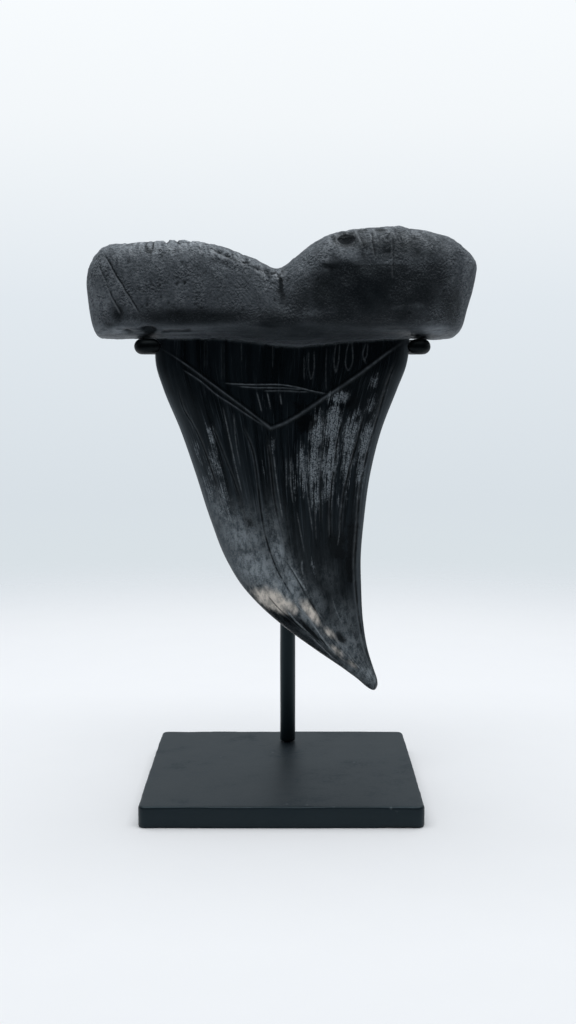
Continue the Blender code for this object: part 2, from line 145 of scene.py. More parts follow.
CRACKS = [
    ([(-35.2, 135.6), (-33.3, 128), (-29, 120.4), (-24.5, 109.3), (-20.5, 97.1), (-17, 88)], 0.2, 0.24),
    ([(-25.3, 150.1), (-25.3, 141.1)], 0.12, 0.24),
    ([(-23.3, 122.1), (-19.8, 113), (-16.3, 103.9), (-14.3, 98)], 0.22, 0.24),
    ([(-19.6, 149.5), (-19.6, 137)], 0.14, 0.24),
    ([(-13.1, 122.2), (-9.9, 114.2), (-8.4, 106.1), (-7.4, 95.9), (-6.6, 90.3), (-4.7, 81.5),
      (-1.7, 73.1), (2.7, 65.3), (4.6, 62)], 0.3, 0.26),
    ([(-4.6, 117.7), (-3.6, 107.2), (-2.1, 95), (-0.6, 88.2), (0.8, 82.6)], 0.28, 0.26),
    ([(0.6, 77.4), (3.2, 73.2), (7.6, 65.3), (12.1, 57.9)], 0.24, 0.26),
    ([(-6.1, 65.2), (-1.7, 59.9), (3.8, 54.8), (10.5, 49.2), (17.1, 42.9), (20.5, 40)], 0.24, 0.22),
    ([(13.8, 128.2), (13.5, 114.1), (13.1, 102), (13.2, 86)], 0.22, 0.24),
    ([(20.6, 125.1), (19.3, 120.1), (17.8, 109.5), (16.5, 97.8), (16.3, 84)], 0.3, 0.3),
    ([(27.9, 127.1), (25.3, 115.9), (22.3, 105.3), (20.6, 96.6), (19.6, 84)], 0.3, 0.3),
    ([(38.6, 144), (36.4, 138.6), (32.5, 124.9), (29, 112.7), (26.6, 100.5), (25.6, 86.6), (24.9, 74.1),
      (25.4, 65.1), (26.2, 57.2), (27.7, 48.8), (29.6, 41.4), (31.5, 35.8)], 0.3, 0.36)]
SCRATCHES = [
    ([(-19.7, 128.2), (-17.2, 116.1), (-15.3, 107), (-13.4, 99)], 0.1, 0.24),
    ([(-16.1, 126.2), (-15.2, 115.1), (-13.9, 108)], 0.06, 0.24),
    ([(-8.3, 133.2), (-6.7, 126.7)], 0.1, 0.22), ([(-4.8, 133), (-3.7, 127.5)], 0.1, 0.22),
    ([(-0.6, 132.7), (-0.1, 129)], 0.09, 0.22),
    ([(-2.8, 112.7), (-1.7, 103.1), (0.3, 90.4)], 0.1, 0.24), ([(1.4, 111.2), (1.6, 101)], 0.08, 0.24),
    ([(3.1, 111.7), (2.9, 104.6), (3.7, 96)], 0.1, 0.24),
    ([(5, 93), (6.2, 86.5), (7.6, 79)], 0.07, 0.22), ([(7.1, 110.2), (8.6, 99), (10.4, 86)], 0.1, 0.24),
    ([(8.9, 114), (9.4, 104.1), (9.7, 97)], 0.1, 0.24), ([(11, 96), (11.6, 83.1)], 0.06, 0.22),
    ([(20.2, 95.6), (19.7, 86.7), (18.9, 81)], 0.09, 0.22), ([(16.4, 94), (16, 84)], 0.07, 0.22),
    ([(17, 63.4), (18.7, 58), (20.7, 53.8)], 0.08, 0.22),
    ([(1.3, 76.3), (3.7, 72.9), (6, 69.2), (8.4, 65.6), (10.7, 61.6), (13.1, 57.9)], 0.34, 0.27),
    ([(8, 65.6), (9.5, 63.2), (11.5, 59.6), (13.5, 56.3)], 0.34, 0.27),
    ([(6.8, 76.3), (6.8, 73.2), (7.2, 71.2)], 0.13, 0.26),
    ([(0.9, 59.4), (5.2, 54.5), (9.2, 50.4), (14, 45.5), (18, 41.3)], 0.34, 0.27),
    ([(4.1, 61.9), (8.4, 57.1), (12.3, 51.4), (16.3, 45.7), (19.1, 42.4)], 0.34, 0.27)]
DRIPS = [
    ([(8.9, 147), (9.1, 139.7), (9.8, 137.4), (10.5, 139.7), (10.7, 147)], 0.1, 0.22),
    ([(17.9, 149.3), (17.4, 142.1), (17.9, 139.5), (18.6, 142.1), (19.2, 149.3)], 0.1, 0.22),
    ([(22.4, 150.2), (21.3, 145.1), (21.4, 141.4), (22.1, 140.2), (22.9, 141.4),
      (23.3, 150.4)], 0.1, 0.22),
    ([(28, 149.4), (27, 145.6), (27.5, 143.6), (28.2, 145), (28.6, 149.6)], 0.09, 0.22),
    ([(14.9, 148), (14.6, 139.7), (14.8, 133.5)], 0.07, 0.22), ([(7.4, 145.1), (7.4, 137)], 0.08, 0.22),
    ([(-3, 149), (-3, 141)], 0.05, 0.22), ([(-13.4, 149.6), (-13.3, 143)], 0.05, 0.22)]
ROOT_SCORES = [
    ([(-57.9, 178.2), (-46, 158.9)], 0.5, 0.26), ([(-59.6, 174.6), (-56.7, 168.6)], 0.4, 0.28),
    ([(-56.2, 166.6), (-52.2, 158.9)], 0.44, 0.28),
    ([(-39.8, 152.9), (-34.6, 153.3), (-29, 153.3)], 0.6, 0.34),
    ([(-0.3, 170.6), (-0.2, 165)], 0.6, 0.42),
    ([(-24, 180.2), (-18.5, 177.6), (-12, 174.7), (-7.1, 172.9), (-2.2, 170.8)], 0.42, 0.4),
    ([(13, 174.9), (15.3, 173.6), (17.8, 173.3)], 0.5, 0.5), ([(24.6, 185.4), (26, 181.4)], 0.4, 0.3),
    ([(29.1, 185), (29.6, 180.6), (30.3, 176.6)], 0.5, 0.32),
    ([(36, 183.6), (35.9, 177), (36.1, 169.5)], 0.34, 0.26), ([(24.2, 185.9), (28, 185.9)], 0.5, 0.3),
    ([(30, 185.8), (34.4, 185.7)], 0.6, 0.32)]
# Soft patches on the crown: place across in neck millimetres, height, half sizes, strength
GREY_PATCHES = [
    (9.5, 107, 2.8, 8.5, 0.8), (15.2, 120, 3.6, 7, 1.1), (14.6, 108, 3.8, 9, 1.1),
    (15.5, 98, 4, 6.5, 0.7), (21.2, 122, 3.9, 8, 1.2), (21.8, 110, 4.2, 9, 1.15),
    (22, 101, 3.8, 7, 0.8), (22.4, 131.2, 3.8, 2.6, 1.15), (18, 131.4, 1.4, 2.4, 0.8),
    (29.6, 119, 3.9, 8, 1.05), (30.3, 108, 3.4, 8, 0.8), (30, 97, 3.2, 5, 0.45),
    (36.9, 117.5, 2.6, 7.5, 1.15), (37.8, 107, 2.3, 7, 0.85), (38, 97, 2.2, 5, 0.4),
    (33.4, 136.4, 2, 3, 0.55), (35, 128, 2.4, 4.5, 0.6), (38.5, 135, 1.2, 5, 0.4), (5, 103, 3, 8, 0.42),
    (-30, 118.5, 1.7, 5, 0.85), (-31.2, 109, 2.7, 6, 0.82), (-31, 99, 3.6, 6, 0.6),
    (-38.6, 112, 2.2, 6.5, 0.52), (-38.4, 100, 2.6, 7.5, 0.68), (-33, 92.5, 5.5, 4.5, 0.6),
    (-34, 105, 7.5, 13, 0.38), (-9.3, 108, 1.4, 4, 0.42), (-4, 115.5, 2.4, 3.5, 0.45),
    (11.5, 74, 2, 4, 0.5)]
CLOUDS = [
    (-28, 84, 15, 8.5, 0.9), (-36, 92, 6, 7, 0.6), (-25, 73, 18, 9, 1.15), (-14, 65.5, 15, 7.5, 1.3),
    (-8, 79, 5, 8, 1.1), (-4, 69.5, 5.5, 8, 1.15), (-8, 87, 6, 8, 0.45), (7, 62, 7, 6, 0.45),
    (-8, 57, 9, 5, 0.95), (8, 46, 34, 9, 0.8), (0, 35.5, 60, 7, 1.02), (26, 55, 14, 7, 0.42),
    (20, 70, 8, 6, 0.15)]
TAN_PATCHES = [
    (-27, 62, 12, 4.2, 1.5), (-16, 60.2, 6, 3, 0.95), (-2.6, 58.2, 5, 4.2, 1.35),
    (3, 50.6, 6.5, 2.6, 0.8), (-6, 44.8, 8, 2.4, 0.78), (-2, 39.8, 10, 2, 0.7), (-13, 43.5, 3, 3, 0.6)]
SMUDGES = [
    (29, 78.2, 6.5, 2.2, 1.25), (35.5, 74, 3.6, 4.6, 1.25), (35, 69.6, 2.6, 2, 1.1),
    (24.5, 84, 3, 4, 0.9), (26, 79, 4, 1.6, 0.85), (37, 83, 4, 9, 1.05), (28, 82, 6.5, 5, 0.85),
    (-26, 54.8, 9, 2.6, 0.95), (-17.5, 51.6, 4, 4.6, 1.15), (-14, 47.6, 2.2, 3.4, 0.8),
    (12.5, 49.4, 7.5, 3, 0.86), (10.5, 123, 4.4, 3.6, 1.2), (8, 128.6, 4, 2.6, 0.7),
    (27.4, 129.6, 3, 3.6, 1), (-20.4, 89, 6.5, 5, 0.6)]
# Darker and paler places on the root's front: middle x and z, half sizes, strength. The dark places are
# the root's own darker tone and also painted shade: the band along the lower edge, the notch above the
# left arm, and the dents and scores near the top. The pale places are mostly painted highlight on the
# lower edge, the crests and the ends.
ROOT_DARK = [
    (27, 167, 13, 9, 1.3), (20, 171, 6.5, 6.5, 1.3), (41, 166, 13, 9.5, 1.15), (49, 170, 7, 8, 0.85),
    (55, 162, 7, 10, 0.75), (15, 165, 8, 8.5, 1.2), (7, 162, 7, 7.5, 0.85), (-1, 156, 15, 4.5, 0.95),
    (26, 157, 30, 5, 1), (-28, 157.6, 25, 3.4, 1.1), (35, 180, 23, 8, 0.76), (0, 170, 5, 4, 0.25),
    (-53.5, 158.6, 2.6, 3.4, 0.95), (-57, 155.4, 3, 1.6, 0.7), (21, 182.7, 3.9, 2.4, 2.4),
    (26.4, 180.5, 1.6, 1.3, 1.6), (15.3, 173.9, 3.4, 0.9, 1.3), (-43.8, 153.7, 2.4, 0.9, 2.6),
    (-42.8, 151.9, 1.2, 1.4, 1.6), (-50.7, 153.1, 1.9, 0.8, 1.4), (8, 152.6, 46, 4.8, 0.86),
    (25.6, 185.5, 2.4, 0.7, 1.5), (32.2, 185.4, 2.6, 0.7, 1.5), (-0.2, 169.9, 1, 0.9, 1.3)]
ROOT_PALE = [
    (44, 161.2, 3, 1.2, 0.5), (37, 160.6, 2.6, 1, 0.42), (10, 159, 6, 2, 0.45),
    (21.5, 177.2, 4.8, 2.4, 0.7), (27, 178.3, 1.6, 1.6, 0.6), (-53, 152.9, 3.4, 1.7, 1.1),
    (-46.6, 152.6, 1.8, 1.6, 1), (-60, 153.4, 4, 2.4, 0.7), (-49.5, 156.3, 3.6, 1, 0.6),
    (50.5, 153.4, 5.5, 1.9, 0.8), (-38, 182, 14, 2.6, 0.75), (-18, 177.5, 8, 1.6, 0.6),
    (34, 186.6, 14, 0.9, 0.4), (-60.5, 164, 3.6, 9, 0.5), (60, 166, 2.2, 12, 0.5)]
BACK_WEAR = [
    (-8, 112, 4, 12, 0.75), (6, 98, 5, 14, 0.8), (18, 118, 3.5, 9, 0.7), (-20, 92, 4, 9, 0.6),
    (12, 74, 6, 8, 0.65), (30, 100, 4, 12, 0.55), (-32, 118, 3, 9, 0.5), (0, 138, 14, 3, 0.45)]


def smooth(knots, at):
    """Cubic curve through the knots (position, value)."""
    place, value = np.array(knots, float).T
    slope = np.gradient(value, place)
    at = np.clip(at, place[0], place[-1])
    span = np.clip(np.searchsorted(place, at) - 1, 0, len(place) - 2)
    width = place[span + 1] - place[span]
    part = (at - place[span]) / width
    rise = value[span + 1] - value[span]
    bend_in = slope[span] * width - rise
    bend_out = rise - slope[span + 1] * width
    return value[span] + part * rise + part * (1 - part) * ((1 - part) * bend_in + part * bend_out)


def ramp(low, high, at):
    """0 below low, 1 above high, eased between them."""
    part = np.clip((at - low) / (high - low), 0.0, 1.0)
    return part * part * (3 - 2 * part)


def dome(distance, radius, power):
    """Height of a rounded end: 0 at the end, 1 from radius inwards."""
    inward = np.clip(distance / radius, 0.0, 1.0)
    return (1 - (1 - inward) ** power) ** (1 / power)


def lens(across):
    """Thickness over the crown's width, from -1 to 1: a lens with rounded rims."""
    lens_part = 1 - across ** 2
    rim_part = np.sqrt(1 - np.abs(across) ** 8)
    return (1 - EDGE_BLUNT) * lens_part + EDGE_BLUNT * rim_part


def hill(x, z, depth, middle_x, half_x, middle_z, half_z):
    """A smooth local form, deepest at its middle."""
    return depth * np.exp(-((x - middle_x) / half_x) ** 2 - ((z - middle_z) / half_z) ** 2)


def patches(x, z, spots):
    """Strongest of several soft spots, each a middle, two half sizes and a strength."""
    result = np.zeros(np.shape(x))
    for middle_x, middle_z, half_x, half_z, strength in spots:
        result = np.maximum(result, hill(x, z, strength, middle_x, half_x, middle_z, half_z))
    return result


# ---------------------------------------------------------------- seeded grain

GRAIN_SIZE = 32
GRAIN = np.random.default_rng(11).uniform(-1, 1, (GRAIN_SIZE,) * 3)
SEEDS = np.random.default_rng(12).uniform(0, 1, (GRAIN_SIZE,) * 3 + (3,))


def grain(x, y, z, shift):
    """Smooth random values between -1 and 1 that change over one unit."""
    spots = np.broadcast_arrays(x + 3.7 * shift, y + 7.1 * shift, z + 5.3 * shift)
    cells = [np.floor(spot).astype(int) for spot in spots]
    parts = [spot - cell for spot, cell in zip(spots, cells)]
    eased = [part ** 3 * (part * (6 * part - 15) + 10) for part in parts]
    total = 0.0
    for corner in itertools.product((0, 1), repeat=3):
        weight = 1.0
        for ease, step in zip(eased, corner):
            weight = weight * (ease if step else 1 - ease)
        index = tuple((cell + step) % GRAIN_SIZE for cell, step in zip(cells, corner))
        total = total + weight * GRAIN[index]
    return total


def layered(x, y, z, layers, shift):
    """Grain with finer and fainter layers on top."""
    total = 0.0
    for k in range(layers):
        total = total + 0.5 ** k * grain(x * 2 ** k, y * 2 ** k, z * 2 ** k, shift + k)
    return total


def nearest_seed(x, y, z):
    """Distance to the nearest of the points scattered one to a unit cell."""
    spots = np.broadcast_arrays(x, y, z)
    cells = [np.floor(spot).astype(int) for spot in spots]
    best = np.full(spots[0].shape, 9.0)
    for corner in itertools.product((-1, 0, 1), repeat=3):
        index = tuple((cell + step) % GRAIN_SIZE for cell, step in zip(cells, corner))
        seed = SEEDS[index]
        square = 0.0
        for axis in range(3):
            square = square + (cells[axis] + corner[axis] + seed[..., axis] - spots[axis]) ** 2
        best = np.minimum(best, square)
    return np.sqrt(best)


def smooth_line(points, count):
    """Points at equal steps of a cubic curve through a few (x, z) points."""
    run = np.concatenate([[0.0], np.cumsum([math.dist(a, b) for a, b in zip(points, points[1:])])])
    at = np.linspace(0, run[-1], count)
    return np.stack([smooth(list(zip(run, values)), at) for values in zip(*points)], axis=1)


def jagged(x, z):
    """Places moved a little, so that a smooth line drawn with them wavers."""
    return (x + LINE_WAVER * layered(0.18 * x, 0.5, 0.42 * z, 2, 17),
            z + LINE_WAVER * layered(0.42 * x, 0.5, 0.18 * z, 2, 18))


def line_distance(x, z, runs):
    """Signed distance to a line in the face's plane, and 0 to 1 along it.

    Each run is smooth in itself; where two runs meet, the line has a corner.
    """
    line = np.concatenate([smooth_line(points, LINE_STEPS // len(runs)) for points in runs])
    best = np.full(np.shape(x), 99.0)
    side = np.ones(np.shape(x))
    place = np.zeros(np.shape(x))
    for k, (start, end) in enumerate(zip(line, line[1:])):
        run = end - start
        if not run.any():
            continue
        along = ((x - start[0]) * run[0] + (z - start[1]) * run[1]) / (run @ run)
        along = np.clip(along, 0.0, 1.0)
        gap_x = x - start[0] - along * run[0]
        gap_z = z - start[1] - along * run[1]
        gap = np.hypot(gap_x, gap_z)
        nearer = gap < best
        side = np.where(nearer, np.sign(gap_x * run[1] - gap_z * run[0]), side)
        place = np.where(nearer, (k + along) / (LINE_STEPS - 1), place)
        best = np.where(nearer, gap, best)
    return best * side, place


def line_profile(x, z, runs, half_width):
    """1 on a line, falling off beside it and thinning out at its ends."""
    gap, place = line_distance(x, z, runs)
    taper = ramp(-0.02, 0.10, place) * ramp(1.02, 0.90, place)
    return taper * np.exp(-(gap / half_width) ** 2)


def relief_lines(x, z, lines, widening):
    """Relief of several lines together, each a little wider than its crisp core."""
    total = 0.0
    for *runs, height, half_width in lines:
        total = total + height * line_profile(x, z, runs, half_width + widening)
    return total


def line_field(x, z, lines, front):
    """For a group of lines, the signed distance over the half width, and the strength.

    Both change evenly over the mesh, so that the finish can draw lines finer than its faces.
    Half way between two lines the strength is 0, because the distance changes its line there.
    """
    nearest = np.full(np.shape(x), 99.0)
    second = np.full(np.shape(x), 99.0)
    best = np.full(np.shape(x), 9.0)
    strength = np.zeros(np.shape(x))
    tallest = max(line[-2] for line in lines)
    for *runs, height, half_width in lines:
        gap, place = line_distance(x, z, runs)
        taper = ramp(-0.02, 0.12, place) * ramp(1.02, 0.88, place)
        here = taper * ramp(1.9, 1.2, np.abs(gap)) * height / tallest
        nearer = np.abs(gap) < nearest
        second = np.where(nearer, nearest, np.minimum(second, np.abs(gap)))
        nearest = np.where(nearer, np.abs(gap), nearest)
        best = np.where(nearer, gap / half_width, best)
        strength = np.where(nearer, here, strength)
    return np.clip(best, -9, 9), strength * ramp(0.2, 0.9, second - nearest) * front


# ---------------------------------------------------------------- crown

CROWN_HEIGHTS = np.concatenate([TIP_Z + TIP_ROUND * (1 - np.cos(np.linspace(0.12, 1.45, 8))),
                                np.arange(33.0, 44.0, 0.6), np.arange(44.0, 114.0, 0.9),
                                np.arange(114.0, CROWN_TOP + 0.1, 0.48)])
CROWN_FRONT_STEPS = 208
CROWN_BACK_STEPS = 60
NECK_HALF = 43.0               # half the neck's width, the unit of places across the crown
CROWN_FLUTES = [(0.11, 0.42, 0.020, 1), (0.055, 1.05, 0.030, 2), (0.022, 2.3, 0.060, 3)]
TIP_LOOP = (30.2, 35.8, 0.9, 1.5)


def crown_width(height):
    """Centre and half width of the crown, closing to a round tip."""
    left = smooth(LEFT_EDGE, height)
    right = smooth(RIGHT_EDGE, height)
    tip = dome(height - TIP_Z, TIP_ROUND, 2)
    return (left + right) / 2, (right - left) / 2 * tip, tip


def crown_across(x, z):
    """Place across the crown from -1 at the left edge to 1 at the right edge."""
    centre, half = crown_width(z)[:2]
    return np.clip((x - centre) / np.maximum(half, 1e-6), -1.0, 1.0)


def crown_relief(x, z):
    """Relief of the bulging face, outwards: flutes, worn places, raised lines and cracks."""
    across = crown_across(x, z)
    flow = across * NECK_HALF
    inner = 1 - across ** 6
    relief = 0.0
    for height, across_rate, along_rate, shift in CROWN_FLUTES:
        relief = relief + height * grain(flow * across_rate, 0.5, z * along_rate, shift)
    worn = patches(flow, z, GREY_PATCHES)
    relief = relief - worn * (0.05 + 0.05 * layered(x * 0.9, 0.5, z * 0.5, 2, 4))
    relief = relief + 0.3 * relief_lines(x, z, BORDER_LINES + TWIN_LINES + TWIG_LINES, 0.10)
    relief = relief - 0.5 * relief_lines(x, z, CRACKS, 0.12)
    middle_x, middle_z, half_x, half_z = TIP_LOOP
    loop = np.hypot((x - middle_x) / half_x, (z - middle_z) / half_z)
    relief = relief - 0.25 * np.exp(-((loop - 1) / 0.35) ** 2)
    return relief * inner


def crown_front(x, z):
    """Y of the crown's bulging face at (x, z)."""
    across = crown_across(x, z)
    tip = crown_width(z)[2]
    rim = RIM_DROP * ramp(1 - RIM_WIDTH, 1.0, across) * ramp(35, 60, z)
    flutes = FLUTE_DEPTH * np.cos(19 * across + 1.1) * (1 - across ** 2) * ramp(40, 70, z)
    depth = smooth(FRONT_HALF, z) * lens(across) * tip - rim * lens(across) + flutes
    return smooth(EDGE_PLANE_Y, z) - depth - crown_relief(x, z) * tip


def crown_back(x, z):
    """Y of the crown's flatter back face at (x, z)."""
    across = crown_across(x, z)
    tip = crown_width(z)[2]
    flow = across * NECK_HALF
    relief = 0.12 * grain(flow * 0.35, 0.5, z * 0.02, 5) + 0.05 * grain(flow * 1.0, 0.5, z * 0.03, 6)
    return (smooth(EDGE_PLANE_Y, z) + smooth(BACK_HALF, z) * lens(across) * tip
            + relief * (1 - across ** 6) * tip)


def steps_across(steps):
    """Places across the crown from -1 to 1, closer together towards its rims."""
    line = np.linspace(-1, 1, steps + 1)
    return 0.6 * line + 0.4 * np.sin(line * math.pi / 2)


def crown_rings():
    """Closed sections of the crown from the tip upwards, as one array."""
    front_s = steps_across(CROWN_FRONT_STEPS)
    back_s = steps_across(CROWN_BACK_STEPS)[-2:0:-1]
    heights = CROWN_HEIGHTS[:, None]
    centre, half = crown_width(heights)[:2]
    front_x = centre + half * front_s
    back_x = centre + half * back_s
    x = np.concatenate([front_x, back_x], axis=1)
    z = heights * np.ones_like(x)
    y = np.concatenate([crown_front(front_x, z[:, :front_s.size]),
                        crown_back(back_x, z[:, front_s.size:])], axis=1)
    return np.stack([x, y, z], axis=2)


# ---------------------------------------------------------------- root

ROOT_STEP = 0.56               # along the width
ROOT_AROUND = 186              # points round each section
ROOT_FRONT_SHARE = 0.42        # step in front and on top, as a share of the step behind
POLISHED_BELLY = (27.0, 12.0, 166.0, 9.0)
RIGHT_FLAKES = (52.0, 9.0, 172.0, 12.0)


def root_relief(x, z, facing):
    """How far the root's surface stands in from its plain section; facing is 1 in front."""
    front = np.clip(facing, 0.0, 1.0)
    back = np.clip(-facing, 0.0, 1.0)
    depth, middle, half = CREASE
    forms = depth * np.exp(-((x - middle) / half) ** 2) * ramp(156, 170, z)
    forms = forms + sum(hill(x, z, *form) for form in ROOT_FORMS)
    wrinkles = WRINKLE_DEPTH * np.cos(x * 1.15 + 0.8 * np.sin(x * 0.31)) * ramp(170, 181, z)
    lumps = LUMP_DEPTH * np.sin(x * 0.47 + 1.3) * np.sin(z * 0.55 + x * 0.21)
    return front * forms + back * hill(x, z, *BACK_HOLLOW) + (wrinkles + lumps) * (0.4 + 0.6 * front)


def notch_band(x, z):
    """The crumbled lip along the slope down into the notch."""
    below_top = smooth(ROOT_TOP, x) - z
    return ramp(-28, -20, x) * ramp(3, -2, x) * ramp(0.2, 1.6, below_top) * ramp(6.0, 3.2, below_top)


def crest_band(x, z):
    """The wrinkled crest of the left lobe, and fainter the crest of the right lobe."""
    below_top = smooth(ROOT_TOP, x) - z
    left = 0.8 * ramp(-58, -50, x) * ramp(-20, -28, x) * ramp(6.5, 2.0, below_top)
    return left + 0.42 * ramp(10, 18, x) * ramp(58, 48, x) * ramp(8.0, 2.5, below_top)


def root_bark(place, normal):
    """Fine relief of the root, outwards along its normal: bark, wrinkles, pits and scores."""
    x, y, z = place[..., 0], place[..., 1], place[..., 2]
    front = ramp(0.05, 0.6, -normal[..., 1])
    up = ramp(-0.2, 0.6, normal[..., 2])
    rough = 1 - 0.75 * hill(x, z, 1.0, *POLISHED_BELLY) * front
    bark = 0.16 * layered(x * 0.35, y * 0.35, z * 0.25, 3, 7) * rough
    grit = 0.10 * layered(x * 1.1, y * 1.1, z * 0.9, 2, 8) * rough
    holes = ramp(0.42, 0.12, nearest_seed(x * 0.42, y * 0.42, z * 0.36))
    keep = ramp(0.05, 0.45, grain(x * 0.11, y * 0.11, z * 0.11, 9))
    pits = -0.34 * holes * keep * rough
    furrow = np.abs(grain(x * 0.42 + 0.5 * bark, y * 0.06, z * 0.08, 10))
    broken = ramp(-0.35, 0.45, grain(x * 0.13, y * 0.13, z * 0.16, 14))
    broken = broken * (0.25 + 0.75 * ramp(-56, -50, x) * ramp(-20, -28, x))
    crest = ramp(171, 180, z) * np.maximum(front, up) * broken
    wrinkles = (0.92 * ramp(0.30, 0.0, furrow) - 0.12) * -crest
    crumbs = notch_band(x, z) * front * (0.55 + 0.60 * layered(x * 0.6, y * 0.6, z * 0.9, 3, 11))
    # the lower edge is a smooth, streaked lip
    lip = ramp(158.5, 155.5, z) * front
    streaks = lip * 0.13 * layered(x * 0.07, y * 0.4, z * 1.1, 2, 12)
    flakes = hill(x, z, 0.22, *RIGHT_FLAKES) * front * layered(x * 0.8, y * 0.8, z * 0.55, 2, 13)
    scores = -0.8 * relief_lines(*jagged(x, z), ROOT_SCORES, 0.12) * np.maximum(front, up)
    hollows = sum(hill(x, z, *form) for form in ROOT_HOLLOWS) * front + hill(x, z, *PORE)
    knobs = sum(hill(x, z, *form) for form in KNOBS) * up
    height, *sizes = SEAT
    seats = sum(hill(x, y, height, arm_x, *sizes) for arm_x in (ARM_LEFT_X, ARM_RIGHT_X))
    seats = seats * ramp(-0.4, -0.9, normal[..., 2])
    return ((bark + grit + pits) * (1 - 0.7 * lip) + wrinkles * (1 - lip) + crumbs + streaks + flakes
            + scores - hollows + knobs + seats)


def rounded_square(angle):
    """Y and z, from -1 to 1, of the root's section at an angle."""
    power = 2 / ROOT_SQUARENESS
    return (-np.sign(np.cos(angle)) * np.abs(np.cos(angle)) ** power,
            np.sign(np.sin(angle)) * np.abs(np.sin(angle)) ** power)


def section_angles():
    """Angles round the root's section at even steps, finer in front and on top."""
    dense = np.linspace(0, 2 * math.pi, 3601)
    y, z = rounded_square(dense)
    middle_y = (y[1:] + y[:-1]) / 2
    middle_z = (z[1:] + z[:-1]) / 2
    fine = np.maximum(ramp(0.35, -0.35, middle_y), ramp(0.2, 0.8, middle_z) * ramp(0.95, 0.3, middle_y))
    weight = np.hypot(np.diff(y), np.diff(z)) * (1 + (1 / ROOT_FRONT_SHARE - 1) * fine)
    run = np.concatenate([[0.0], np.cumsum(weight)])
    return np.interp(np.arange(ROOT_AROUND) * run[-1] / ROOT_AROUND, run, dense)


def grid_normals(grid, outward):
    """Unit normals of a grid of points that closes on itself along its second axis."""
    along = np.gradient(grid, axis=0)
    around = np.roll(grid, -1, axis=1) - np.roll(grid, 1, axis=1)
    normal = np.cross(along, around)
    normal /= np.maximum(np.linalg.norm(normal, axis=2, keepdims=True), 1e-9)
    sign = np.sign((normal * outward).sum())
    return normal * sign


def leaned(x, z):
    """X of a point of the plain root once its two ends lean."""
    right = ramp(38, 62, x)
    lean = LEAN_LEFT * ramp(-40, -62, x) + LEAN_RIGHT * right
    return x + lean * (z - LEAN_Z) + right * smooth(RIGHT_END_SWELL, z)


def root_rings():
    """Closed upright sections of the root from its left end to its right end, as one array."""
    cap = ROOT_CAP * (1 - np.cos(np.linspace(0.06, math.pi / 2, 18)))
    inner = np.arange(-ROOT_END + ROOT_CAP + ROOT_STEP, ROOT_END - ROOT_CAP, ROOT_STEP)
    spine = np.concatenate([-ROOT_END + cap, inner, ROOT_END - cap[::-1]])[:, None]
    unit_y, unit_z = rounded_square(section_angles()[None, :])
    inward = ROOT_END - np.abs(spine)
    top = smooth(ROOT_TOP, spine)
    bottom = smooth(ROOT_BOTTOM, spine)
    front = smooth(ROOT_FRONT, spine)
    back = smooth(ROOT_BACK, spine)
    upper_round = np.where(spine < 0, ROOT_UPPER_ROUND[0], ROOT_UPPER_ROUND[1])
    lower_round = np.where(spine < 0, ROOT_LOWER_ROUND[0], ROOT_LOWER_ROUND[1])
    upper = (top - bottom) / 2 * dome(inward, upper_round, 2.2)
    lower = (top - bottom) / 2 * dome(inward, lower_round, 2.6)
    half_y = (back - front) / 2 * dome(inward, ROOT_PLAN_ROUND, 2.3)
    z = (top + bottom) / 2 + np.where(unit_z > 0, upper, lower) * unit_z
    x = spine * np.ones_like(z)
    scale = 1 - root_relief(x, z, -unit_y) / np.maximum(half_y, 12.0)
    y = (front + back) / 2 + half_y * unit_y * scale
    grid = np.stack([leaned(x, z), y, z], axis=2)
    outward = np.stack([np.zeros_like(z), unit_y * np.ones_like(z), unit_z * np.ones_like(z)], axis=2)
    normal = grid_normals(grid, outward)
    end_fade = ramp(0.0, 2.5, inward)
    return grid + normal * (root_bark(grid, normal) * end_fade)[..., None]


# ---------------------------------------------------------------- meshes

def skin(name, grid, start_pole=None, end_pole=None):
    """Mesh of closed rings; each end runs to its pole, is one flat face, or with False is open."""
    rows, count = grid.shape[:2]
    points = grid.reshape(-1, 3)
    column = np.arange(count)
    after = (column + 1) % count
    faces = []
    for row in range(rows - 1):
        low, high = row * count, (row + 1) * count
        square = [low + column, low + after, high + after, high + column]
        faces.extend(np.stack(square, axis=1).tolist())
    for base, pole in ((0, start_pole), ((rows - 1) * count, end_pole)):
        if pole is False:
            continue
        if pole is None:
            faces.append((base + column).tolist())
            continue
        points = np.concatenate([points, [pole]])
        peak = len(points) - 1
        faces.extend([[int(base + a), int(base + b), peak] for a, b in zip(column, after)])
    mesh = bpy.data.meshes.new(name)
    mesh.from_pydata((points * MM).tolist(), [], faces)
    form = bmesh.new()
    form.from_mesh(mesh)
    bmesh.ops.recalc_face_normals(form, faces=form.faces)
    form.to_mesh(mesh)
    form.free()
    return mesh


def show(name, mesh, finish=None):
    """Put a mesh in the scene as an object with one finish."""
    thing = bpy.data.objects.new(name, mesh)
    bpy.context.scene.collection.objects.link(thing)
    if finish is not None:
        mesh.materials.clear()
        mesh.materials.append(finish)
    return thing


def settle(thing):
    """Replace an object's mesh by the mesh its modifiers give, and drop the modifiers."""
    bpy.context.view_layer.update()
    evaluated = thing.evaluated_get(bpy.context.evaluated_depsgraph_get())
    mesh = bpy.data.meshes.new_from_object(evaluated)
    thing.modifiers.clear()
    thing.data = mesh
    return mesh


def combine(thing, other, operation):
    """Boolean of two objects; the second one is used up."""
    step = thing.modifiers.new(other.name, "BOOLEAN")
    step.operation = operation
    step.solver = "EXACT"
    step.object = other
    mesh = settle(thing)
    bpy.data.objects.remove(other)
    return mesh


def points_of(mesh):
    """Vertex positions in millimetres."""
    flat = np.empty(len(mesh.vertices) * 3)
    mesh.vertices.foreach_get("co", flat)
    return flat.reshape(-1, 3) / MM


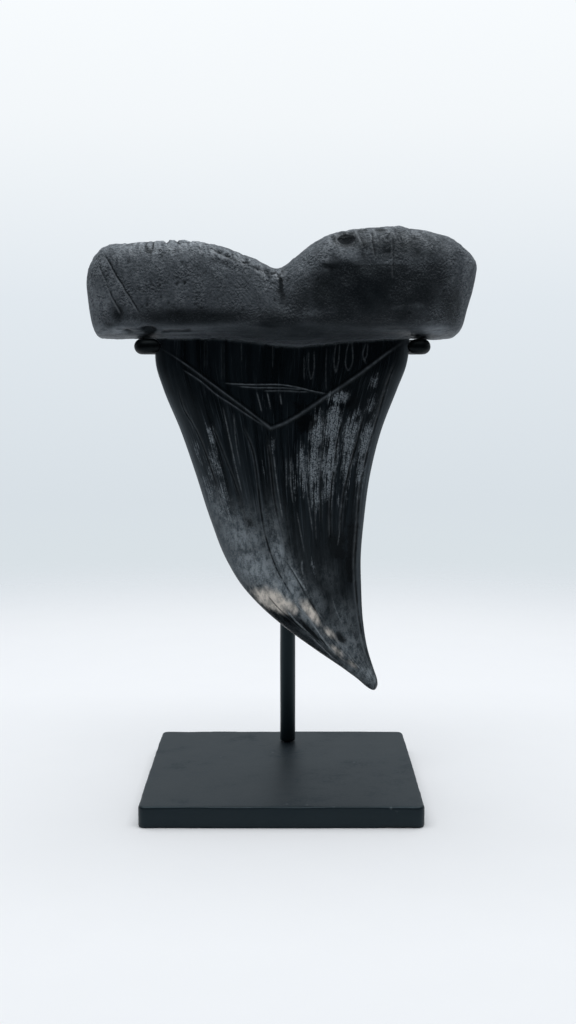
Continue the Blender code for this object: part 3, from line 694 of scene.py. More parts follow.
def edges_of(mesh):
    """Pairs of vertex numbers."""
    flat = np.empty(len(mesh.edges) * 2, int)
    mesh.edges.foreach_get("vertices", flat)
    return flat.reshape(-1, 2)


def spread(values, edges, rounds, share=0.5):
    """Average values with their neighbours, several times over."""
    count = np.zeros(len(values))
    np.add.at(count, edges.ravel(), 1)
    count = np.maximum(count, 1)
    if values.ndim == 2:
        count = count[:, None]
    for _ in range(rounds):
        total = np.zeros_like(values)
        np.add.at(total, edges[:, 0], values[edges[:, 1]])
        np.add.at(total, edges[:, 1], values[edges[:, 0]])
        values = values * (1 - share) + share * total / count
    return values


def keep_values(mesh, **layers):
    """Store numbers on the mesh's points for the materials."""
    for name, values in layers.items():
        layer = mesh.attributes.new(name, "FLOAT", "POINT")
        layer.data.foreach_set("value", np.asarray(values, np.float32))


# ---------------------------------------------------------------- finishes

# Coats: shade, roughness, strength and tint of the shine
PLATE_COAT = ((0.0014, 0.0028, 0.0047), 0.45, 0.42, (0.65, 0.89, 1.0))
POST_COAT = ((0.0028, 0.0057, 0.0078), 0.42, 0.38, (0.64, 0.90, 1.0))
CRADLE_COAT = ((0.0006, 0.0012, 0.0016), 0.40, 0.11, (0.80, 0.94, 1.0))
FOSSIL_SHINE = (0.17, (0.78, 0.92, 1.0))


def operator(operation, swapped=False):
    """A Python operator that adds a Math node."""
    def apply(self, other):
        pair = (other, self) if swapped else (self, other)
        return self.finish.math(operation, *pair)
    return apply


class Reading:
    """A value that changes over a surface; arithmetic on it adds Math nodes."""

    def __init__(self, finish, socket):
        self.finish = finish
        self.socket = socket

    __add__ = operator("ADD")
    __radd__ = operator("ADD", True)
    __sub__ = operator("SUBTRACT")
    __rsub__ = operator("SUBTRACT", True)
    __mul__ = operator("MULTIPLY")
    __rmul__ = operator("MULTIPLY", True)
    __pow__ = operator("POWER")


class Finish:
    """One material: its nodes, and the short words that the finishes below are written in."""

    def __init__(self, name, owner=None):
        self.owner = owner or bpy.data.materials.new(name)
        self.owner.use_nodes = True
        self.tree = self.owner.node_tree
        self.tree.nodes.clear()

    def add(self, kind, settings=None, inputs=None, output=0):
        """Any node: its type, its settings first, then the values or links of its sockets."""
        node = self.tree.nodes.new("ShaderNode" + kind)
        for key, value in (settings or {}).items():
            if key == "stops":
                for place, colour in value:
                    stop = node.color_ramp.elements.new(place)
                    stop.color = (*colour, 1)
                node.color_ramp.elements.remove(node.color_ramp.elements[0])
                node.color_ramp.elements.remove(node.color_ramp.elements[-1])
            else:
                setattr(node, key, value)
        for key, value in (inputs or {}).items():
            if isinstance(value, Reading):
                self.tree.links.new(value.socket, node.inputs[key])
            else:
                node.inputs[key].default_value = value
        return Reading(self, node.outputs[output] if node.outputs else None)

    def math(self, operation, *values):
        return self.add("Math", {"operation": operation}, dict(enumerate(values)))

    def stored(self, name):
        """A number kept on the mesh's points."""
        return self.add("Attribute", {"attribute_name": name}, output="Fac")

    def step(self, value, low, high):
        """Eased from 0 at low to 1 at high."""
        return self.add("MapRange", {"interpolation_type": "SMOOTHSTEP"},
                        {"Value": value, "From Min": low, "From Max": high})

    def point(self, x, y, z):
        return self.add("CombineXYZ", None, {0: x, 1: y, 2: z})

    def noise(self, place, scale, detail=3.0, roughness=0.5):
        return self.add("TexNoise", None, {"Vector": place, "Scale": scale, "Detail": detail,
                                           "Roughness": roughness})

    def cells(self, place, scale):
        return self.add("TexVoronoi", None, {"Vector": place, "Scale": scale})

    def mix(self, share, low, high):
        """From one colour to another."""
        low = low if isinstance(low, Reading) else (*low, 1)
        high = high if isinstance(high, Reading) else (*high, 1)
        return self.add("Mix", {"data_type": "RGBA"}, {0: share, 6: low, 7: high}, output=2)

    def over(self, colour, *layers):
        """A colour with others laid over it in turn, each given as a share and a colour."""
        for share, shade in layers:
            colour = self.mix(share, colour, shade)
        return colour

    def line(self, name, beside=0.0):
        """A crisp line from a distance and a strength kept on the mesh: 1 on it or beside it."""
        away = self.stored(name + "_away") - beside
        return self.math("EXPONENT", 0.0 - away * away) * self.stored(name + "_strong")

    def millimetres(self):
        """Place on the piece in millimetres, and its x, y and z."""
        place = self.add("VectorMath", {"operation": "SCALE"},
                         {0: self.add("TexCoord", output="Object"), "Scale": 1 / MM})
        parts = [self.add("SeparateXYZ", None, {0: place}, output=axis) for axis in range(3)]
        return place, *parts

    def surface(self, colour, roughness, height, **constants):
        """Close the material with one shader; height is in millimetres."""
        bump = self.add("Bump", None, {"Height": height, "Distance": MM, "Strength": 1.0})
        shader = self.add("BsdfPrincipled", None,
                          {"Base Color": colour, "Roughness": roughness, "Normal": bump})
        for socket, value in constants.items():
            shader.socket.node.inputs[socket.replace("_", " ")].default_value = value
        self.add("OutputMaterial", None, {"Surface": shader})
        return self.owner


def enamel_look(made, place, x, y, z):
    """Colour, roughness and relief of the crown: glossy near-black, worn grey, clouded and tan.

    Everything runs along the crown, so its grain is drawn out from neck to tip.
    """
    run = made.point(made.stored("flow"), y * 0.15, z * 0.045)
    fine = made.noise(run, 1.9, 3.0, 0.55)
    broad = made.noise(run, 0.42, 2.0)
    belly = made.step(z, 74.0, 96.0) * made.step(z, 140.0, 104.0)
    light_lines = made.step(fine, 0.56, 0.70) * (0.34 + 0.66 * belly)
    veil = made.step(x, 6.0, -26.0) * made.step(z, 122.0, 146.0)
    dark_lines = made.step(fine, 0.45, 0.34)
    frost = made.noise(made.point(x, y, z * 0.62), 0.62, 6.0, 0.62)
    frost_fine = made.noise(made.point(x, y, z * 0.8), 2.3, 3.0, 0.62)
    grey = made.stored("grey")
    worn = made.step(grey + (frost - 0.5) * 1.5 + (fine - 0.5) * 1.6, 0.30, 0.95)
    worn = worn * made.step(grey, 0.05, 0.30) * (1 - dark_lines * 0.75)
    cloud = made.stored("cloud") * made.step(broad * 0.5 + frost * 0.6, 0.18, 0.62)
    tan = made.step(made.stored("tan") + (broad - 0.5) * 0.4 + (frost - 0.5) * 0.7, 0.16, 1.15)
    smudge = made.step(made.stored("smudge") + (frost - 0.5) * 1.5, 0.34, 0.80)
    # rim: painted reflection of the bright backdrop along the crown's side edges
    rim = made.stored("rim")
    uneven = 0.55 + 0.45 * made.step(made.noise(place, 0.55, 3.0), 0.38, 0.62)
    narrow = 1 + 0.75 * made.step(x, -4.5, -8.0)
    away = made.stored("border_away") * narrow
    border = made.math("EXPONENT", 0 - away * away)
    # borders: the raised lines drawn light, a painted highlight on their crests, with a little relief
    borders = (border * made.stored("border_strong") * 0.9 + made.line("twin") * 1.3
               + made.line("twig") * 1.5) * uneven
    cracks = made.line("crack") * (0.40 + 0.60 * made.step(made.noise(place, 0.30, 3.0), 0.40, 0.56))
    # lips: painted highlight along the lips of the cracks
    lips = made.line("crack", 1.7) + made.line("crack", -1.9) * 0.7
    scratches = (made.line("scratch") + made.line("drip") * 0.16) * made.step(frost_fine, 0.30, 0.48)

    black = made.mix(made.step(broad, 0.36, 0.68) * (0.16 + 0.84 * belly + 0.42 * veil),
                     (0.0012, 0.0026, 0.0038), (0.0120, 0.0170, 0.0215))
    net = frost * 0.6 + frost_fine * 0.4
    hazy = made.mix(made.step(net, 0.38, 0.60), (0.118, 0.142, 0.161), (0.335, 0.375, 0.405))
    frosted = made.mix(made.step(frost_fine, 0.36, 0.62), (0.030, 0.038, 0.045), (0.285, 0.320, 0.350))
    sandy = made.mix(made.step(frost, 0.36, 0.64), (0.54, 0.50, 0.45), (0.98, 0.90, 0.81))
    # beside: painted shade in dark bands beside the raised lines
    beside = made.line("border", 1.9) + made.line("border", -1.9) + made.line("twig", -2.2)
    colour = made.over(
        black, (light_lines * 0.50, (0.060, 0.074, 0.088)),
        (dark_lines * belly * 0.55, (0.0012, 0.0022, 0.0032)),
        (cloud * 0.90, hazy), (worn * 0.92, frosted),
        (rim * (0.75 - 0.55 * veil), (0.150, 0.178, 0.200)), (tan, sandy),
        (smudge * 0.95, (0.0010, 0.0016, 0.0022)), (lips * uneven * 0.17, (0.22, 0.25, 0.275)),
        (borders * 0.46, (0.16, 0.18, 0.20)), (beside * 0.6, (0.001, 0.002, 0.002)),
        (scratches * uneven, (0.36, 0.40, 0.43)), (cracks * 0.95, (0.0010, 0.0015, 0.0020)))
    roughness = 0.19 + 0.06 * fine + worn * 0.28 + cloud * 0.12 + tan * 0.16 + cracks * 0.3 + rim * 0.10
    height = ((fine - 0.5) * 0.10 + borders * 0.10 - cracks * 0.22 + lips * 0.06
              - scratches * 0.05 + (frost_fine - 0.5) * worn * 0.14 - worn * 0.02)
    return colour, roughness, height


def stone_look(made, place, x, y, z):
    """Colour, roughness and relief of the root: pebbled bark over soft mottling.

    Ledges get painted highlight on their upper sides and painted shade on their undersides, as light
    from above falls on them.
    """
    bark = made.noise(made.point(x * 1.15, y, z * 0.85), 1.0, 6.0, 0.72)
    grit = made.noise(place, 3.4, 3.0, 0.6)
    pebble = made.noise(place, 1.35, 3.0, 0.62)
    # ledge: how the pebble grain changes upwards; it places the painted highlight and painted shade
    # below
    ledge = pebble - made.noise(made.point(x, y, z + 0.30), 1.35, 3.0, 0.62)
    fold = made.noise(made.point(x * 1.1 + z * 0.4, y * 0.25, z * 0.25), 0.62, 3.0, 0.6)
    mottle = made.noise(place, 0.10, 4.0, 0.55)
    streak = made.noise(made.point(x * 0.07, y * 0.3, z * 1.3), 1.0, 3.0, 0.6)
    pits = made.step(made.cells(place, 1.15), 0.24, 0.08) * made.step(mottle, 0.52, 0.60)
    polish = made.stored("polish")
    crumbs = made.stored("crumbs")
    lip = made.stored("lip")
    rough = 1 - polish * 0.75
    zone = rough * (0.45 + 0.75 * made.step(made.noise(place, 0.16, 3.0), 0.44, 0.60))
    # dark: the root's own darker tone, plus painted shade along its lower edge, in the notch above the
    # left arm and in its dents and scores
    stored_dark = made.stored("dark")
    dark = made.step(stored_dark + (mottle - 0.5) * 0.35 + (bark - 0.5) * 0.30 * rough, 0.04, 1.0)
    # pale: mostly painted highlight, where the root's lower edge is lit from the floor and its crests
    # and ends are lit from above
    pale = made.step(made.stored("pale") + (mottle - 0.5) * 0.5 + (bark - 0.5) * 0.4, 0.08, 0.90)
    cavity = made.stored("cavity")
    dust = made.step(cavity + (bark - 0.5) * 0.8 + (grit - 0.5) * 0.5 + crumbs * 0.35, 0.10, 0.60)
    # deep: near-black painted shadow where the darkness is strongest, as in the notch above the left
    # arm and the dents on the right lobe's top
    deep = made.step(stored_dark * rough, 1.20, 1.60)
    crumbs_seen = crumbs * (1 - deep)
    scores = made.line("score")
    # score_lips: painted highlight along one lip of the scores on the root, mostly at the left end
    lip_share = made.step(x, -44.0, -48.0) + made.step(x, 22.0, 24.0) * 0.34
    score_lips = made.line("score", 1.7) * lip_share
    colour = made.over(
        made.mix(made.step(mottle, 0.32, 0.68), (0.084, 0.095, 0.108), (0.108, 0.121, 0.136)),
        (pale * 0.62, (0.235, 0.262, 0.288)),
        (dust * (1 - polish * 0.7) * 0.42, (0.31, 0.34, 0.37)),
        (dark * (1 - 0.85 * pale) * 0.985, (0.0030, 0.0048, 0.0066)),
        (deep, (0.0008, 0.0012, 0.0016)),
        # light and dark strokes on the crumbled lip and crest: partly the crumbs' own tone, partly
        # painted highlight on their folds and painted shade between them
        (crumbs_seen * made.step(fold, 0.46, 0.62) * 0.72, (0.46, 0.49, 0.52)),
        (crumbs_seen * made.step(fold, 0.44, 0.33) * 0.78, (0.030, 0.034, 0.040)),
        # painted highlight on the upper side of each pebble ledge
        (made.step(ledge, 0.01, 0.15) * zone * (0.50 - 0.38 * dark), (0.26, 0.285, 0.31)),
        (made.step(grit, 0.54, 0.66) * zone * 0.28, (0.22, 0.24, 0.26)),
        # painted shade under each pebble ledge
        (made.step(ledge, 0.00, -0.14) * zone * 0.72, (0.010, 0.012, 0.015)),
        (made.step(bark, 0.54, 0.36) * rough * 0.48, (0.016, 0.019, 0.023)),
        (lip * made.step(streak, 0.54, 0.38) * 0.55, (0.010, 0.013, 0.016)),
        # painted shade in the hollows of the surface
        (made.step(cavity, -0.10, -0.55) * 0.80, (0.008, 0.010, 0.012)),
        (score_lips * 0.50, (0.36, 0.39, 0.42)),
        (pits * 0.7 + scores * 0.75, (0.008, 0.010, 0.012)))
    roughness = 0.52 - polish * 0.12 - dark * 0.10 + deep * 0.45 + (grit - 0.5) * 0.16
    pebbled = (pebble - 0.5) * 0.54 + (bark - 0.5) * 0.48 + (grit - 0.5) * 0.22 - pits * 0.25
    height = pebbled * rough - scores * 0.26 + score_lips * 0.08 + (streak - 0.5) * lip * 0.30
    return colour, roughness, height


def fossil_finish():
    """Bark-like matt root and glossy enamel, parted by a soft seam at the neck."""
    made = Finish("fossil_root_and_enamel")
    place = made.millimetres()
    enamel = made.step(made.stored("enamel") + 0.10 * (made.noise(place[0], 0.8) - 0.5), 0.42, 0.58)
    (stone, *stone_parts), (glaze, *glaze_parts) = stone_look(made, *place), enamel_look(made, *place)
    roughness, height = (low + enamel * (high - low) for low, high in zip(stone_parts, glaze_parts))
    return made.surface(made.mix(enamel, stone, glaze), roughness, height, **shine(*FOSSIL_SHINE))


def shine(level, tint):
    """How strongly a surface mirrors at right angles, and in which colour."""
    return {"Specular_IOR_Level": level, "Specular_Tint": (*tint, 1.0)}


def coat_finish(name, shade, gloss, level, tint):
    """Satin black powder coat: fine orange peel, faint dust and rubbed places."""
    made = Finish(name)
    place = made.millimetres()[0]
    peel = made.noise(place, 1.5, 3.0, 0.55)
    dust = made.noise(place, 0.075, 5.0, 0.62)
    specks = made.step(made.cells(place, 0.16), 0.10, 0.05)
    rubbed = made.step(dust + (made.noise(place, 0.9, 3.0) - 0.5) * 0.45, 0.55, 0.78)
    deeper, paler, worn = (tuple(share * part for part in shade) for share in (0.85, 1.25, 2.6))
    colour = made.over(made.mix(made.step(dust, 0.3, 0.7), deeper, paler), (rubbed * 0.30, worn),
                       (specks * made.step(dust, 0.52, 0.60) * 0.5, (0.09, 0.10, 0.11)))
    roughness = gloss + 0.10 * (dust - 0.5) + 0.08 * rubbed + 0.06 * (peel - 0.5)
    return made.surface(colour, roughness, (peel - 0.5) * 0.035, **shine(level, tint))


def screw_finish():
    """Black-oxide steel with the turning marks of the head."""
    made = Finish("black_oxide_steel")
    place, x, y, z = made.millimetres()
    radius = made.math("SQRT", (x - POST_X) ** 2.0 + (y - BACK_Y) ** 2.0)
    rings = made.noise(made.point(radius, 0.0, z), 9.0, 2.0)
    wear = made.noise(place, 1.3, 4.0)
    colour = made.mix(made.step(wear, 0.48, 0.72), (0.020, 0.021, 0.023), (0.075, 0.075, 0.078))
    return made.surface(colour, 0.34 + 0.18 * (wear - 0.5) + 0.10 * rings, rings * 0.02, Metallic=0.85)


# ---------------------------------------------------------------- the tooth

def tooth_skin(finish):
    """Crown and root fused into one skin, with a record of which part each point came from."""
    tip = ((LEFT_EDGE[0][1] + RIGHT_EDGE[0][1]) / 2, EDGE_PLANE_Y[0][1], TIP_Z)
    crown = show("crown", skin("crown", crown_rings(), start_pole=tip), finish)
    ends = []
    for side in (-1, 1):
        x = side * ROOT_END
        y = float(smooth(ROOT_FRONT, x) + smooth(ROOT_BACK, x)) / 2
        z = float(smooth(ROOT_TOP, x) + smooth(ROOT_BOTTOM, x)) / 2
        ends.append((float(leaned(x, z)), y, z))
    root = show("tooth_skin", skin("tooth_skin", root_rings(), *ends), finish)
    for thing, index in ((root, 0), (crown, 1)):
        thing.data.materials.append(finish)        # two slots, one finish: which part a face is from
        thing.data.polygons.foreach_set("material_index", [index] * len(thing.data.polygons))
    mesh = combine(root, crown, "UNION")

    form = bmesh.new()
    form.from_mesh(mesh)
    bmesh.ops.triangulate(form, faces=[face for face in form.faces if len(face.verts) > 4])
    bmesh.ops.dissolve_degenerate(form, dist=0.02 * MM, edges=form.edges)
    parts = np.zeros((len(form.verts), 2))
    for face in form.faces:
        for vert in face.verts:
            parts[vert.index, face.material_index] = 1
        face.material_index = 0
    form.to_mesh(mesh)
    form.free()
    mesh.materials.pop(index=1)
    mesh.polygons.foreach_set("use_smooth", [True] * len(mesh.polygons))
    return root, mesh, parts


def tooth():
    """The fused skin, with the numbers that its finish reads kept on its points."""
    root, mesh, parts = tooth_skin(fossil_finish())
    edges = edges_of(mesh)
    points = points_of(mesh)
    seam = parts.min(axis=1)
    near = np.clip(2.5 * spread(seam, edges, 3, 0.9), 0, 1)[:, None]
    for _ in range(6):
        points = points + near * (spread(points, edges, 1, 0.6) - points)
    mesh.vertices.foreach_set("co", (points * MM).ravel())
    mesh.update()

    normals = np.empty(len(mesh.vertices) * 3)
    mesh.vertices.foreach_get("normal", normals)
    normals = normals.reshape(-1, 3)
    # cavity: how far each point stands out from its surroundings; the finish paints shade into the
    # hollows and lightens the bumps
    around = spread(points, edges, 10, 0.8)
    cavity = ((points - around) * normals).sum(axis=1)

    x, y, z = points.T
    forwards = -normals[:, 1]
    enamel = spread(parts[:, 1] - seam * 0.5, edges, 1)
    before_edge = smooth(EDGE_PLANE_Y, z) - y
    front = ramp(0.0, 1.5, before_edge) * ramp(160, 156, z)
    back = ramp(0.0, 1.5, -before_edge) * ramp(160, 156, z)
    facing = ramp(0.1, 0.5, forwards)
    polish = np.maximum(hill(x, z, 1.0, 27.0, 10.0, 165.5, 9.0) * facing,
                        ramp(157.5, 154.5, z) * ramp(-0.2, 0.3, forwards))
    dark = 1.15 * ramp(15.6, 18.4, x + 0.9 * grain(x * 0.5, 0.5, z * 0.5, 16)) * ramp(48, 36, x)
    dark = dark * ramp(176.0, 173.2, z) * ramp(153.6, 157.4, z)
    # ROOT_DARK adds painted shade to the root's own darker tone
    dark = np.maximum(dark, patches(x, z, ROOT_DARK)) * ramp(-0.15, 0.25, forwards)
    centre, half = crown_width(z)[:2]
    across = crown_across(x, z)
    flow = across * NECK_HALF
    to_edge = (1 - np.abs(across)) * half
    left = x < centre
    # rim: painted reflection of the bright backdrop along the crown's side edges
    rim = np.exp(-to_edge / np.where(left, 1.6, 1.3)) * np.where(left, ramp(58, 72, z), ramp(34, 60, z))
    low_rim = 1.1 * np.exp(-to_edge / 0.9) * left * ramp(66, 58, z)
    keep_values(mesh, enamel=enamel, flow=flow, cavity=cavity * 2.2, rim=rim * front,
                # pale: mostly painted highlight on the root's lower edge, crests and ends
                pale=patches(x, z, ROOT_PALE) * facing, lip=ramp(156.0, 153.5, z) * facing,
                grey=patches(flow, z, GREY_PATCHES) * front + patches(flow, z, BACK_WEAR) * back,
                cloud=patches(flow, z, CLOUDS) * (front + 0.55 * back),
                tan=patches(flow, z, TAN_PATCHES) * front,
                smudge=np.maximum(patches(flow, z, SMUDGES), low_rim) * front,
                polish=polish * (1 - front * enamel), dark=dark,
                crumbs=notch_band(x, z) * ramp(-0.3, 0.3, forwards) + crest_band(x, z))
    groups = {"border": BORDER_LINES, "twin": TWIN_LINES, "twig": TWIG_LINES, "crack": CRACKS,
              "scratch": SCRATCHES, "drip": DRIPS, "score": ROOT_SCORES}
    for name, lines in groups.items():
        on_root = name == "score"
        places = jagged(x, z) if on_root else (x, z)
        away, strong = line_field(*places, lines, facing if on_root else front)
        keep_values(mesh, **{name + "_away": away, name + "_strong": strong})
    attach(root, "root")
    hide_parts("tooth")
    return root


# ---------------------------------------------------------------- the stand

SCREW_CUTS = {"screw_hole": [(1.55, -1.0), (1.55, PLATE_THICK + 1.0)],
              "countersink": [(4.25, -1.0), (1.85, 1.7)]}


def plate_outline():
    """Points round the plate's edge with the outward direction at each."""
    places = []
    reach = PLATE_SIDE / 2 - PLATE_CORNER
    for k, (side_x, side_y) in enumerate(((1, 1), (-1, 1), (-1, -1), (1, -1))):
        for angle in np.linspace(0, math.pi / 2, 8):
            turn = angle + k * math.pi / 2
            out = np.array([math.cos(turn), math.sin(turn)])
            places.append((np.array([side_x, side_y]) * reach + PLATE_CORNER * out, out))
        (start, out), (next_x, next_y) = places[-1], ((-1, 1), (-1, -1), (1, -1), (1, 1))[k]
        end = np.array([next_x, next_y]) * reach + PLATE_CORNER * out
        for share in np.linspace(0, 1, 46)[1:-1]:
            places.append((start + share * (end - start), out))
    return np.array([place for place, _ in places]), np.array([out for _, out in places])


def plate():
    """The cut square plate: hand-eased rims, slightly uneven, with small dings at the corners."""
    outline, outward = plate_outline()
    corner = ramp(PLATE_SIDE * 0.66, PLATE_SIDE * 0.70, np.abs(outline).sum(axis=1) * 0.8)
    uneven = 0.26 * layered(outline[:, 0] * 0.13, outline[:, 1] * 0.13, 0.5, 3, 21)
    low_ding = (0.5 + 0.5 * layered(outline[:, 0] * 0.07, outline[:, 1] * 0.07, 3.5, 2, 22)) * corner
    top_round = 0.55 + 0.20 * uneven + 0.35 * corner
    low_round = 0.40 + 1.5 * low_ding
    rings = [(inset, 0.0) for inset in (30.0, 8.0, 3.0)]
    for turn in np.linspace(0, math.pi / 2, 5):
        rings.append((low_round * (1 - math.sin(turn)), low_round * (1 - math.cos(turn))))
    rings.append((0.0, PLATE_THICK * 0.5))
    for turn in np.linspace(0, math.pi / 2, 6):
        rings.append((top_round * (1 - math.cos(turn)), PLATE_THICK - top_round * (1 - math.sin(turn))))
    rings += [(inset, PLATE_THICK) for inset in (1.6, 3.0, 8.0, 30.0)]
    grid = np.empty((len(rings), len(outline), 3))
    for k, (inset, height) in enumerate(rings):
        inset = inset * np.ones(len(outline))
        rim = np.exp(-np.minimum(inset, 6.0) / 1.2)
        side = inset + rim * (0.02 + np.maximum(-uneven, 0) * 0.6)
        grid[k, :, :2] = outline - outward * side[:, None]
        grid[k, :, 2] = height
        if inset.min() > 2.9:      # the flat faces close in towards the middle
            grid[k, :, :2] = outline * (1 - inset[:, None] / (PLATE_SIDE / 2))
    top = grid[:, :, 2] > PLATE_THICK * 0.6
    rim = np.exp(-np.minimum(PLATE_SIDE / 2 - np.abs(grid[:, :, :2]).max(axis=2), 6.0) / 0.9)
    grid[:, :, 2] -= top * rim * (0.02 + 0.9 * np.maximum(uneven, 0))
    thing = show("plate_body", skin("plate_body", grid), coat_finish("plate_black_coat", *PLATE_COAT))
    for name, profile in SCREW_CUTS.items():
        cutter = show(name, skin(name, turned(profile, 48, (POST_X, BACK_Y))))
        combine(thing, cutter, "DIFFERENCE")
    finish_smooth(thing, 30)
    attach(thing, "root")
    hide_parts("base_plate")


def turned(profile, around, centre):
    """Rings of a turned form from (radius, height) points."""
    angle = np.linspace(0, 2 * math.pi, around, endpoint=False)
    return np.array([np.stack([centre[0] + radius * np.cos(angle), centre[1] + radius * np.sin(angle),
                               np.full(around, height)], axis=1) for radius, height in profile])


def finish_smooth(thing, angle):
    """Smooth shading that keeps real corners sharp."""
    mesh = thing.data
    mesh.polygons.foreach_set("use_smooth", [True] * len(mesh.polygons))
    mesh.set_sharp_from_angle(angle=math.radians(angle))


def post():
    """The round post, a little uneven under its coat, rounded in at its foot and cut to a saddle for
    the bar at its top.
    """
    foot = PLATE_THICK + GAP
    radius = POST_DIAMETER / 2
    middle = np.array([POST_X + POST_SHIFT, BACK_Y])
    heights = [foot, foot + 0.15, foot + 0.5, *np.arange(foot + 1.2, ROD_Z, 1.6), ROD_Z]
    profile = [(radius + COAT_THICK - 0.30 * math.exp(-(height - foot) / 0.12), height)
               for height in heights]
    grid = turned(profile, 56, middle)
    wave = 0.035 * grain(grid[:, :, 0] * 0.5, grid[:, :, 1] * 0.5, grid[:, :, 2] * 0.10, 31)
    away = grid[:, :, :2] - middle
    grid[:, :, :2] = middle + away * (1 - (0.03 + wave)[..., None] / radius)
    thing = show("post_body", skin("post_body", grid), coat_finish("post_black_coat", *POST_COAT))
    line = [(POST_X + step, BACK_Y, ROD_Z) for step in (-6.0, 6.0)]
    cutter = show("post_saddle", skin("post_saddle", bar(line, ROD_DIAMETER / 2 + GAP, 56)))
    combine(thing, cutter, "DIFFERENCE")
    finish_smooth(thing, 40)
    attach(thing, "root")
    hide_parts("post")


def bar(path, radius, around, sizes=None):
    """Rings of a round bar along a level path."""
    path = np.array(path, float)
    along = np.gradient(path, axis=0)
    along /= np.linalg.norm(along, axis=1, keepdims=True)
    side = np.cross(along, (0, 0, 1.0))
    angle = np.linspace(0, 2 * math.pi, around, endpoint=False)
    sizes = np.ones(len(path)) if sizes is None else np.array(sizes)
    ring = (side[:, None, :] * np.cos(angle)[None, :, None]
            + np.array([0, 0, 1.0]) * np.sin(angle)[None, :, None])
    return path[:, None, :] + radius * sizes[:, None, None] * ring


def bend(before, corner, after, radius, steps):
    """Points of an arc that rounds a corner in a level path."""
    corner = np.array(corner, float)
    one = np.array(before, float) - corner
    two = np.array(after, float) - corner
    one /= np.linalg.norm(one)
    two /= np.linalg.norm(two)
    half = math.acos(np.clip(one @ two, -1, 1)) / 2
    middle = (one + two) / np.linalg.norm(one + two)
    centre = corner + middle * radius / math.sin(half)
    start = corner + one * radius / math.tan(half) - centre
    end = corner + two * radius / math.tan(half) - centre
    angle = math.acos(np.clip(start @ end / radius ** 2, -1, 1))
    return [centre + (math.sin((1 - t) * angle) * start + math.sin(t * angle) * end) / math.sin(angle)
            for t in np.linspace(0, 1, steps)]


def cradle():
    """One round bar bent to a U, its forged ends turned inwards and rounded off, a little thinner near
    the tips.
    """
    radius = ROD_DIAMETER / 2
    left_end = np.array([ARM_LEFT_X + LEFT_CURL, ARM_END_Y - 0.5, ROD_Z + 0.2])
    left_knee = (ARM_LEFT_X, ARM_END_Y + 0.2, ROD_Z)
    left_back = (ARM_LEFT_X, BACK_Y, ROD_Z)
    right_back = (ARM_RIGHT_X, BACK_Y, ROD_Z)
    right_knee = (ARM_RIGHT_X, ARM_END_Y + 0.2, ROD_Z)
    right_end = np.array([ARM_RIGHT_X - RIGHT_CURL, ARM_END_Y - 0.5, ROD_Z - 0.1])
    core = [left_end] + bend(left_end, left_knee, left_back, CRADLE_KNEE, 9)
    core += bend(left_knee, left_back, right_back, ROD_BEND, 16)
    core += bend(left_back, right_back, right_knee, ROD_BEND, 16)
    core += bend(right_back, right_knee, right_end, CRADLE_KNEE, 9) + [right_end]
    path = [core[0]]
    for start, end in zip(core, core[1:]):
        pieces = max(1, round(float(np.linalg.norm(end - start)) / 1.5))
        path += [start + (end - start) * k / pieces for k in range(1, pieces + 1)]

    def to_end(points):
        """Distance of each point to the nearer end of the bar."""
        gaps = [np.linalg.norm(np.array(points) - end, axis=1) for end in (core[0], core[-1])]
        return np.minimum(*gaps)

    keep = [point for point, gap in zip(path, to_end(path)) if gap > radius]
    turns = np.radians(np.linspace(3, 84, 12))
    tips = []
    for end, inner in ((path[0], path[1]), (path[-1], path[-2])):
        inward = (inner - end) / np.linalg.norm(inner - end)
        tips.append([end + inward * radius * (1 - math.cos(turn)) for turn in turns])
    line = tips[0] + keep + tips[1][::-1]
    sizes = np.concatenate([np.sin(turns), np.ones(len(keep)), np.sin(turns)[::-1]])
    sizes = sizes * (0.88 + 0.12 * ramp(0.0, 4.0, to_end(line)))
    grid = bar(line, radius - 0.04, 40, sizes)
    wave = 0.05 * grain(grid[:, :, 0] * 0.4, grid[:, :, 1] * 0.4, grid[:, :, 2] * 0.4, 41)
    centre = np.array(line)[:, None, :]
    grid = centre + (grid - centre) * (0.98 + wave[..., None] * 0.3)
    thing = show("cradle_bar", skin("cradle_bar", grid), coat_finish("cradle_black_coat", *CRADLE_COAT))
    finish_smooth(thing, 50)
    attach(thing, "root")
    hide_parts("cradle")


# ---------------------------------------------------------------- the studio

CAMERA_PLACE = (0.00206, -0.46765, 0.1451)
CAMERA_TILT = 6.30             # degrees below level
CAMERA_LENS = 49.68

# The backdrop's colour against height, as (sine of the elevation, colour)
BACKDROP = [((sine + 1) / 2, colour) for sine, colour in (
    (-1.0, (0.84, 0.875, 0.913)), (-0.205, (0.84, 0.875, 0.913)), (-0.172, (0.735, 0.785, 0.835)),
    (-0.143, (0.694, 0.753, 0.791)), (-0.101, (0.687, 0.745, 0.791)), (0.039, (0.76, 0.815, 0.863)),
    (0.16, (0.896, 0.930, 0.956)), (0.235, (0.935, 0.967, 0.991)), (1.0, (0.935, 0.967, 0.991)))]


def studio_floor():
    """A pale round floor that fades into the backdrop well behind the plate."""
    made = Finish("studio_paper")
    place, x, y = made.millimetres()[:3]
    away = made.math("SQRT", x * x + y * y)
    paper = made.noise(place, 0.05, 2.0)
    colour = made.mix(paper, (0.828, 0.826, 0.836), (0.842, 0.840, 0.850))
    shader = made.add("BsdfPrincipled", None, {"Base Color": colour, "Roughness": 0.75,
                                               "Specular IOR Level": 0.2})
    clear = made.add("BsdfTransparent")
    mixed = made.add("MixShader", None, {0: made.step(away, 260.0, 560.0), 1: shader, 2: clear})
    made.add("OutputMaterial", None, {"Surface": mixed})
    grid = turned([(radius, -0.02) for radius in (1.0, 60.0, 150.0, 300.0, 620.0)], 96, (0.0, 0.0))
    thing = show("studio_floor", skin("studio_floor", grid, (0.0, 0.0, -0.02), False), made.owner)


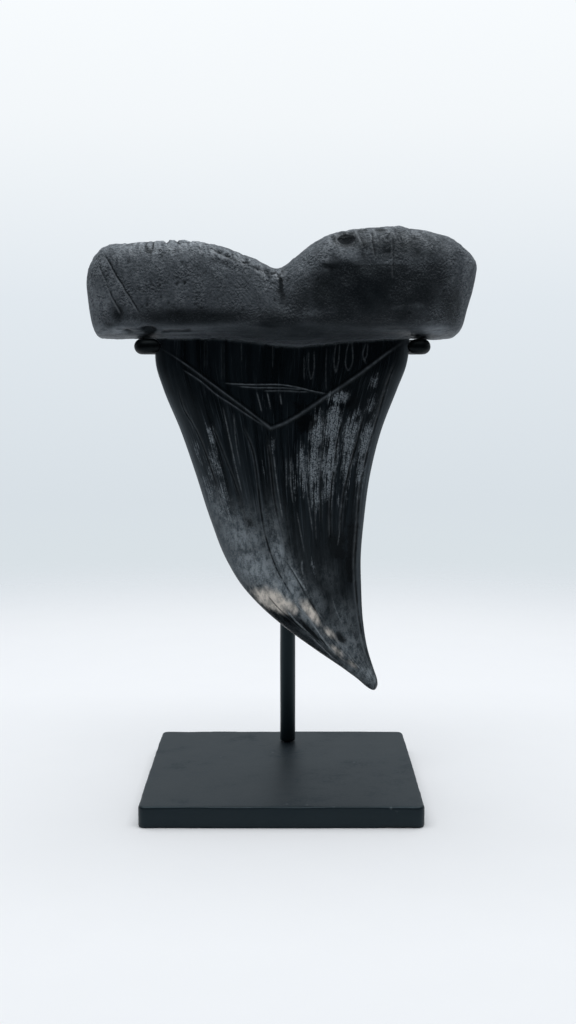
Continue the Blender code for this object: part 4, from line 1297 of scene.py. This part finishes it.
def studio_air():
    """The backdrop as the camera sees it, and the softer, darker-fronted light on the object."""
    world = bpy.data.worlds.new("studio_air")
    bpy.context.scene.world = world
    made = Finish("studio_air", world)
    towards = made.add("TexCoord", output="Generated")
    side = made.add("SeparateXYZ", None, {0: towards}, output=1)
    height = made.add("SeparateXYZ", None, {0: towards}, output=2)
    seen = made.add("ValToRGB", {"stops": BACKDROP}, {0: height * 0.5 + 0.5})
    behind = made.step(side, -0.35, 0.75)
    level = made.mix(behind, (0.018, 0.023, 0.027), (0.485, 0.535, 0.575))
    lit = made.mix(made.step(height, 0.30, 0.92), level, (0.43, 0.465, 0.49))
    plain = made.add("LightPath", output="Is Camera Ray")
    colour = made.mix(plain, lit, seen)
    made.add("OutputWorld", None, {"Surface": made.add("Background", None, {"Color": colour,
                                                                          "Strength": 1.0})})


def soft_light(name, place, target, size, watts, colour):
    """An oblong soft box aimed at a point."""
    light = bpy.data.lights.new(name, "AREA")
    light.shape = "RECTANGLE"
    light.size, light.size_y = size
    light.energy = watts
    light.color = colour
    thing = bpy.data.objects.new(name, light)
    bpy.context.scene.collection.objects.link(thing)
    thing.location = place
    thing.rotation_euler = (Vector(target) - Vector(place)).to_track_quat("-Z", "Y").to_euler()


def camera():
    lens = bpy.data.cameras.new("camera")
    lens.sensor_width = 36.0
    lens.sensor_fit = "AUTO"
    lens.lens = CAMERA_LENS
    lens.clip_start = 0.01
    lens.clip_end = 20.0
    thing = bpy.data.objects.new("camera", lens)
    bpy.context.scene.collection.objects.link(thing)
    thing.location = CAMERA_PLACE
    thing.rotation_euler = (math.radians(90 - CAMERA_TILT), 0.0, 0.0)
    bpy.context.scene.camera = thing


tooth()
plate()
post()
cradle()
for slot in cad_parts["post_screw"].material_slots:
    slot.material = screw_finish()
studio_floor()
studio_air()
soft_light("overhead_box", (0.0, 0.045, 0.85), (0.0, 0.045, 0.0), (1.10, 0.90), 8.2, (0.97, 0.985, 1.0))
camera()
bpy.context.scene.view_settings.view_transform = "Standard"
bpy.context.view_layer.update()
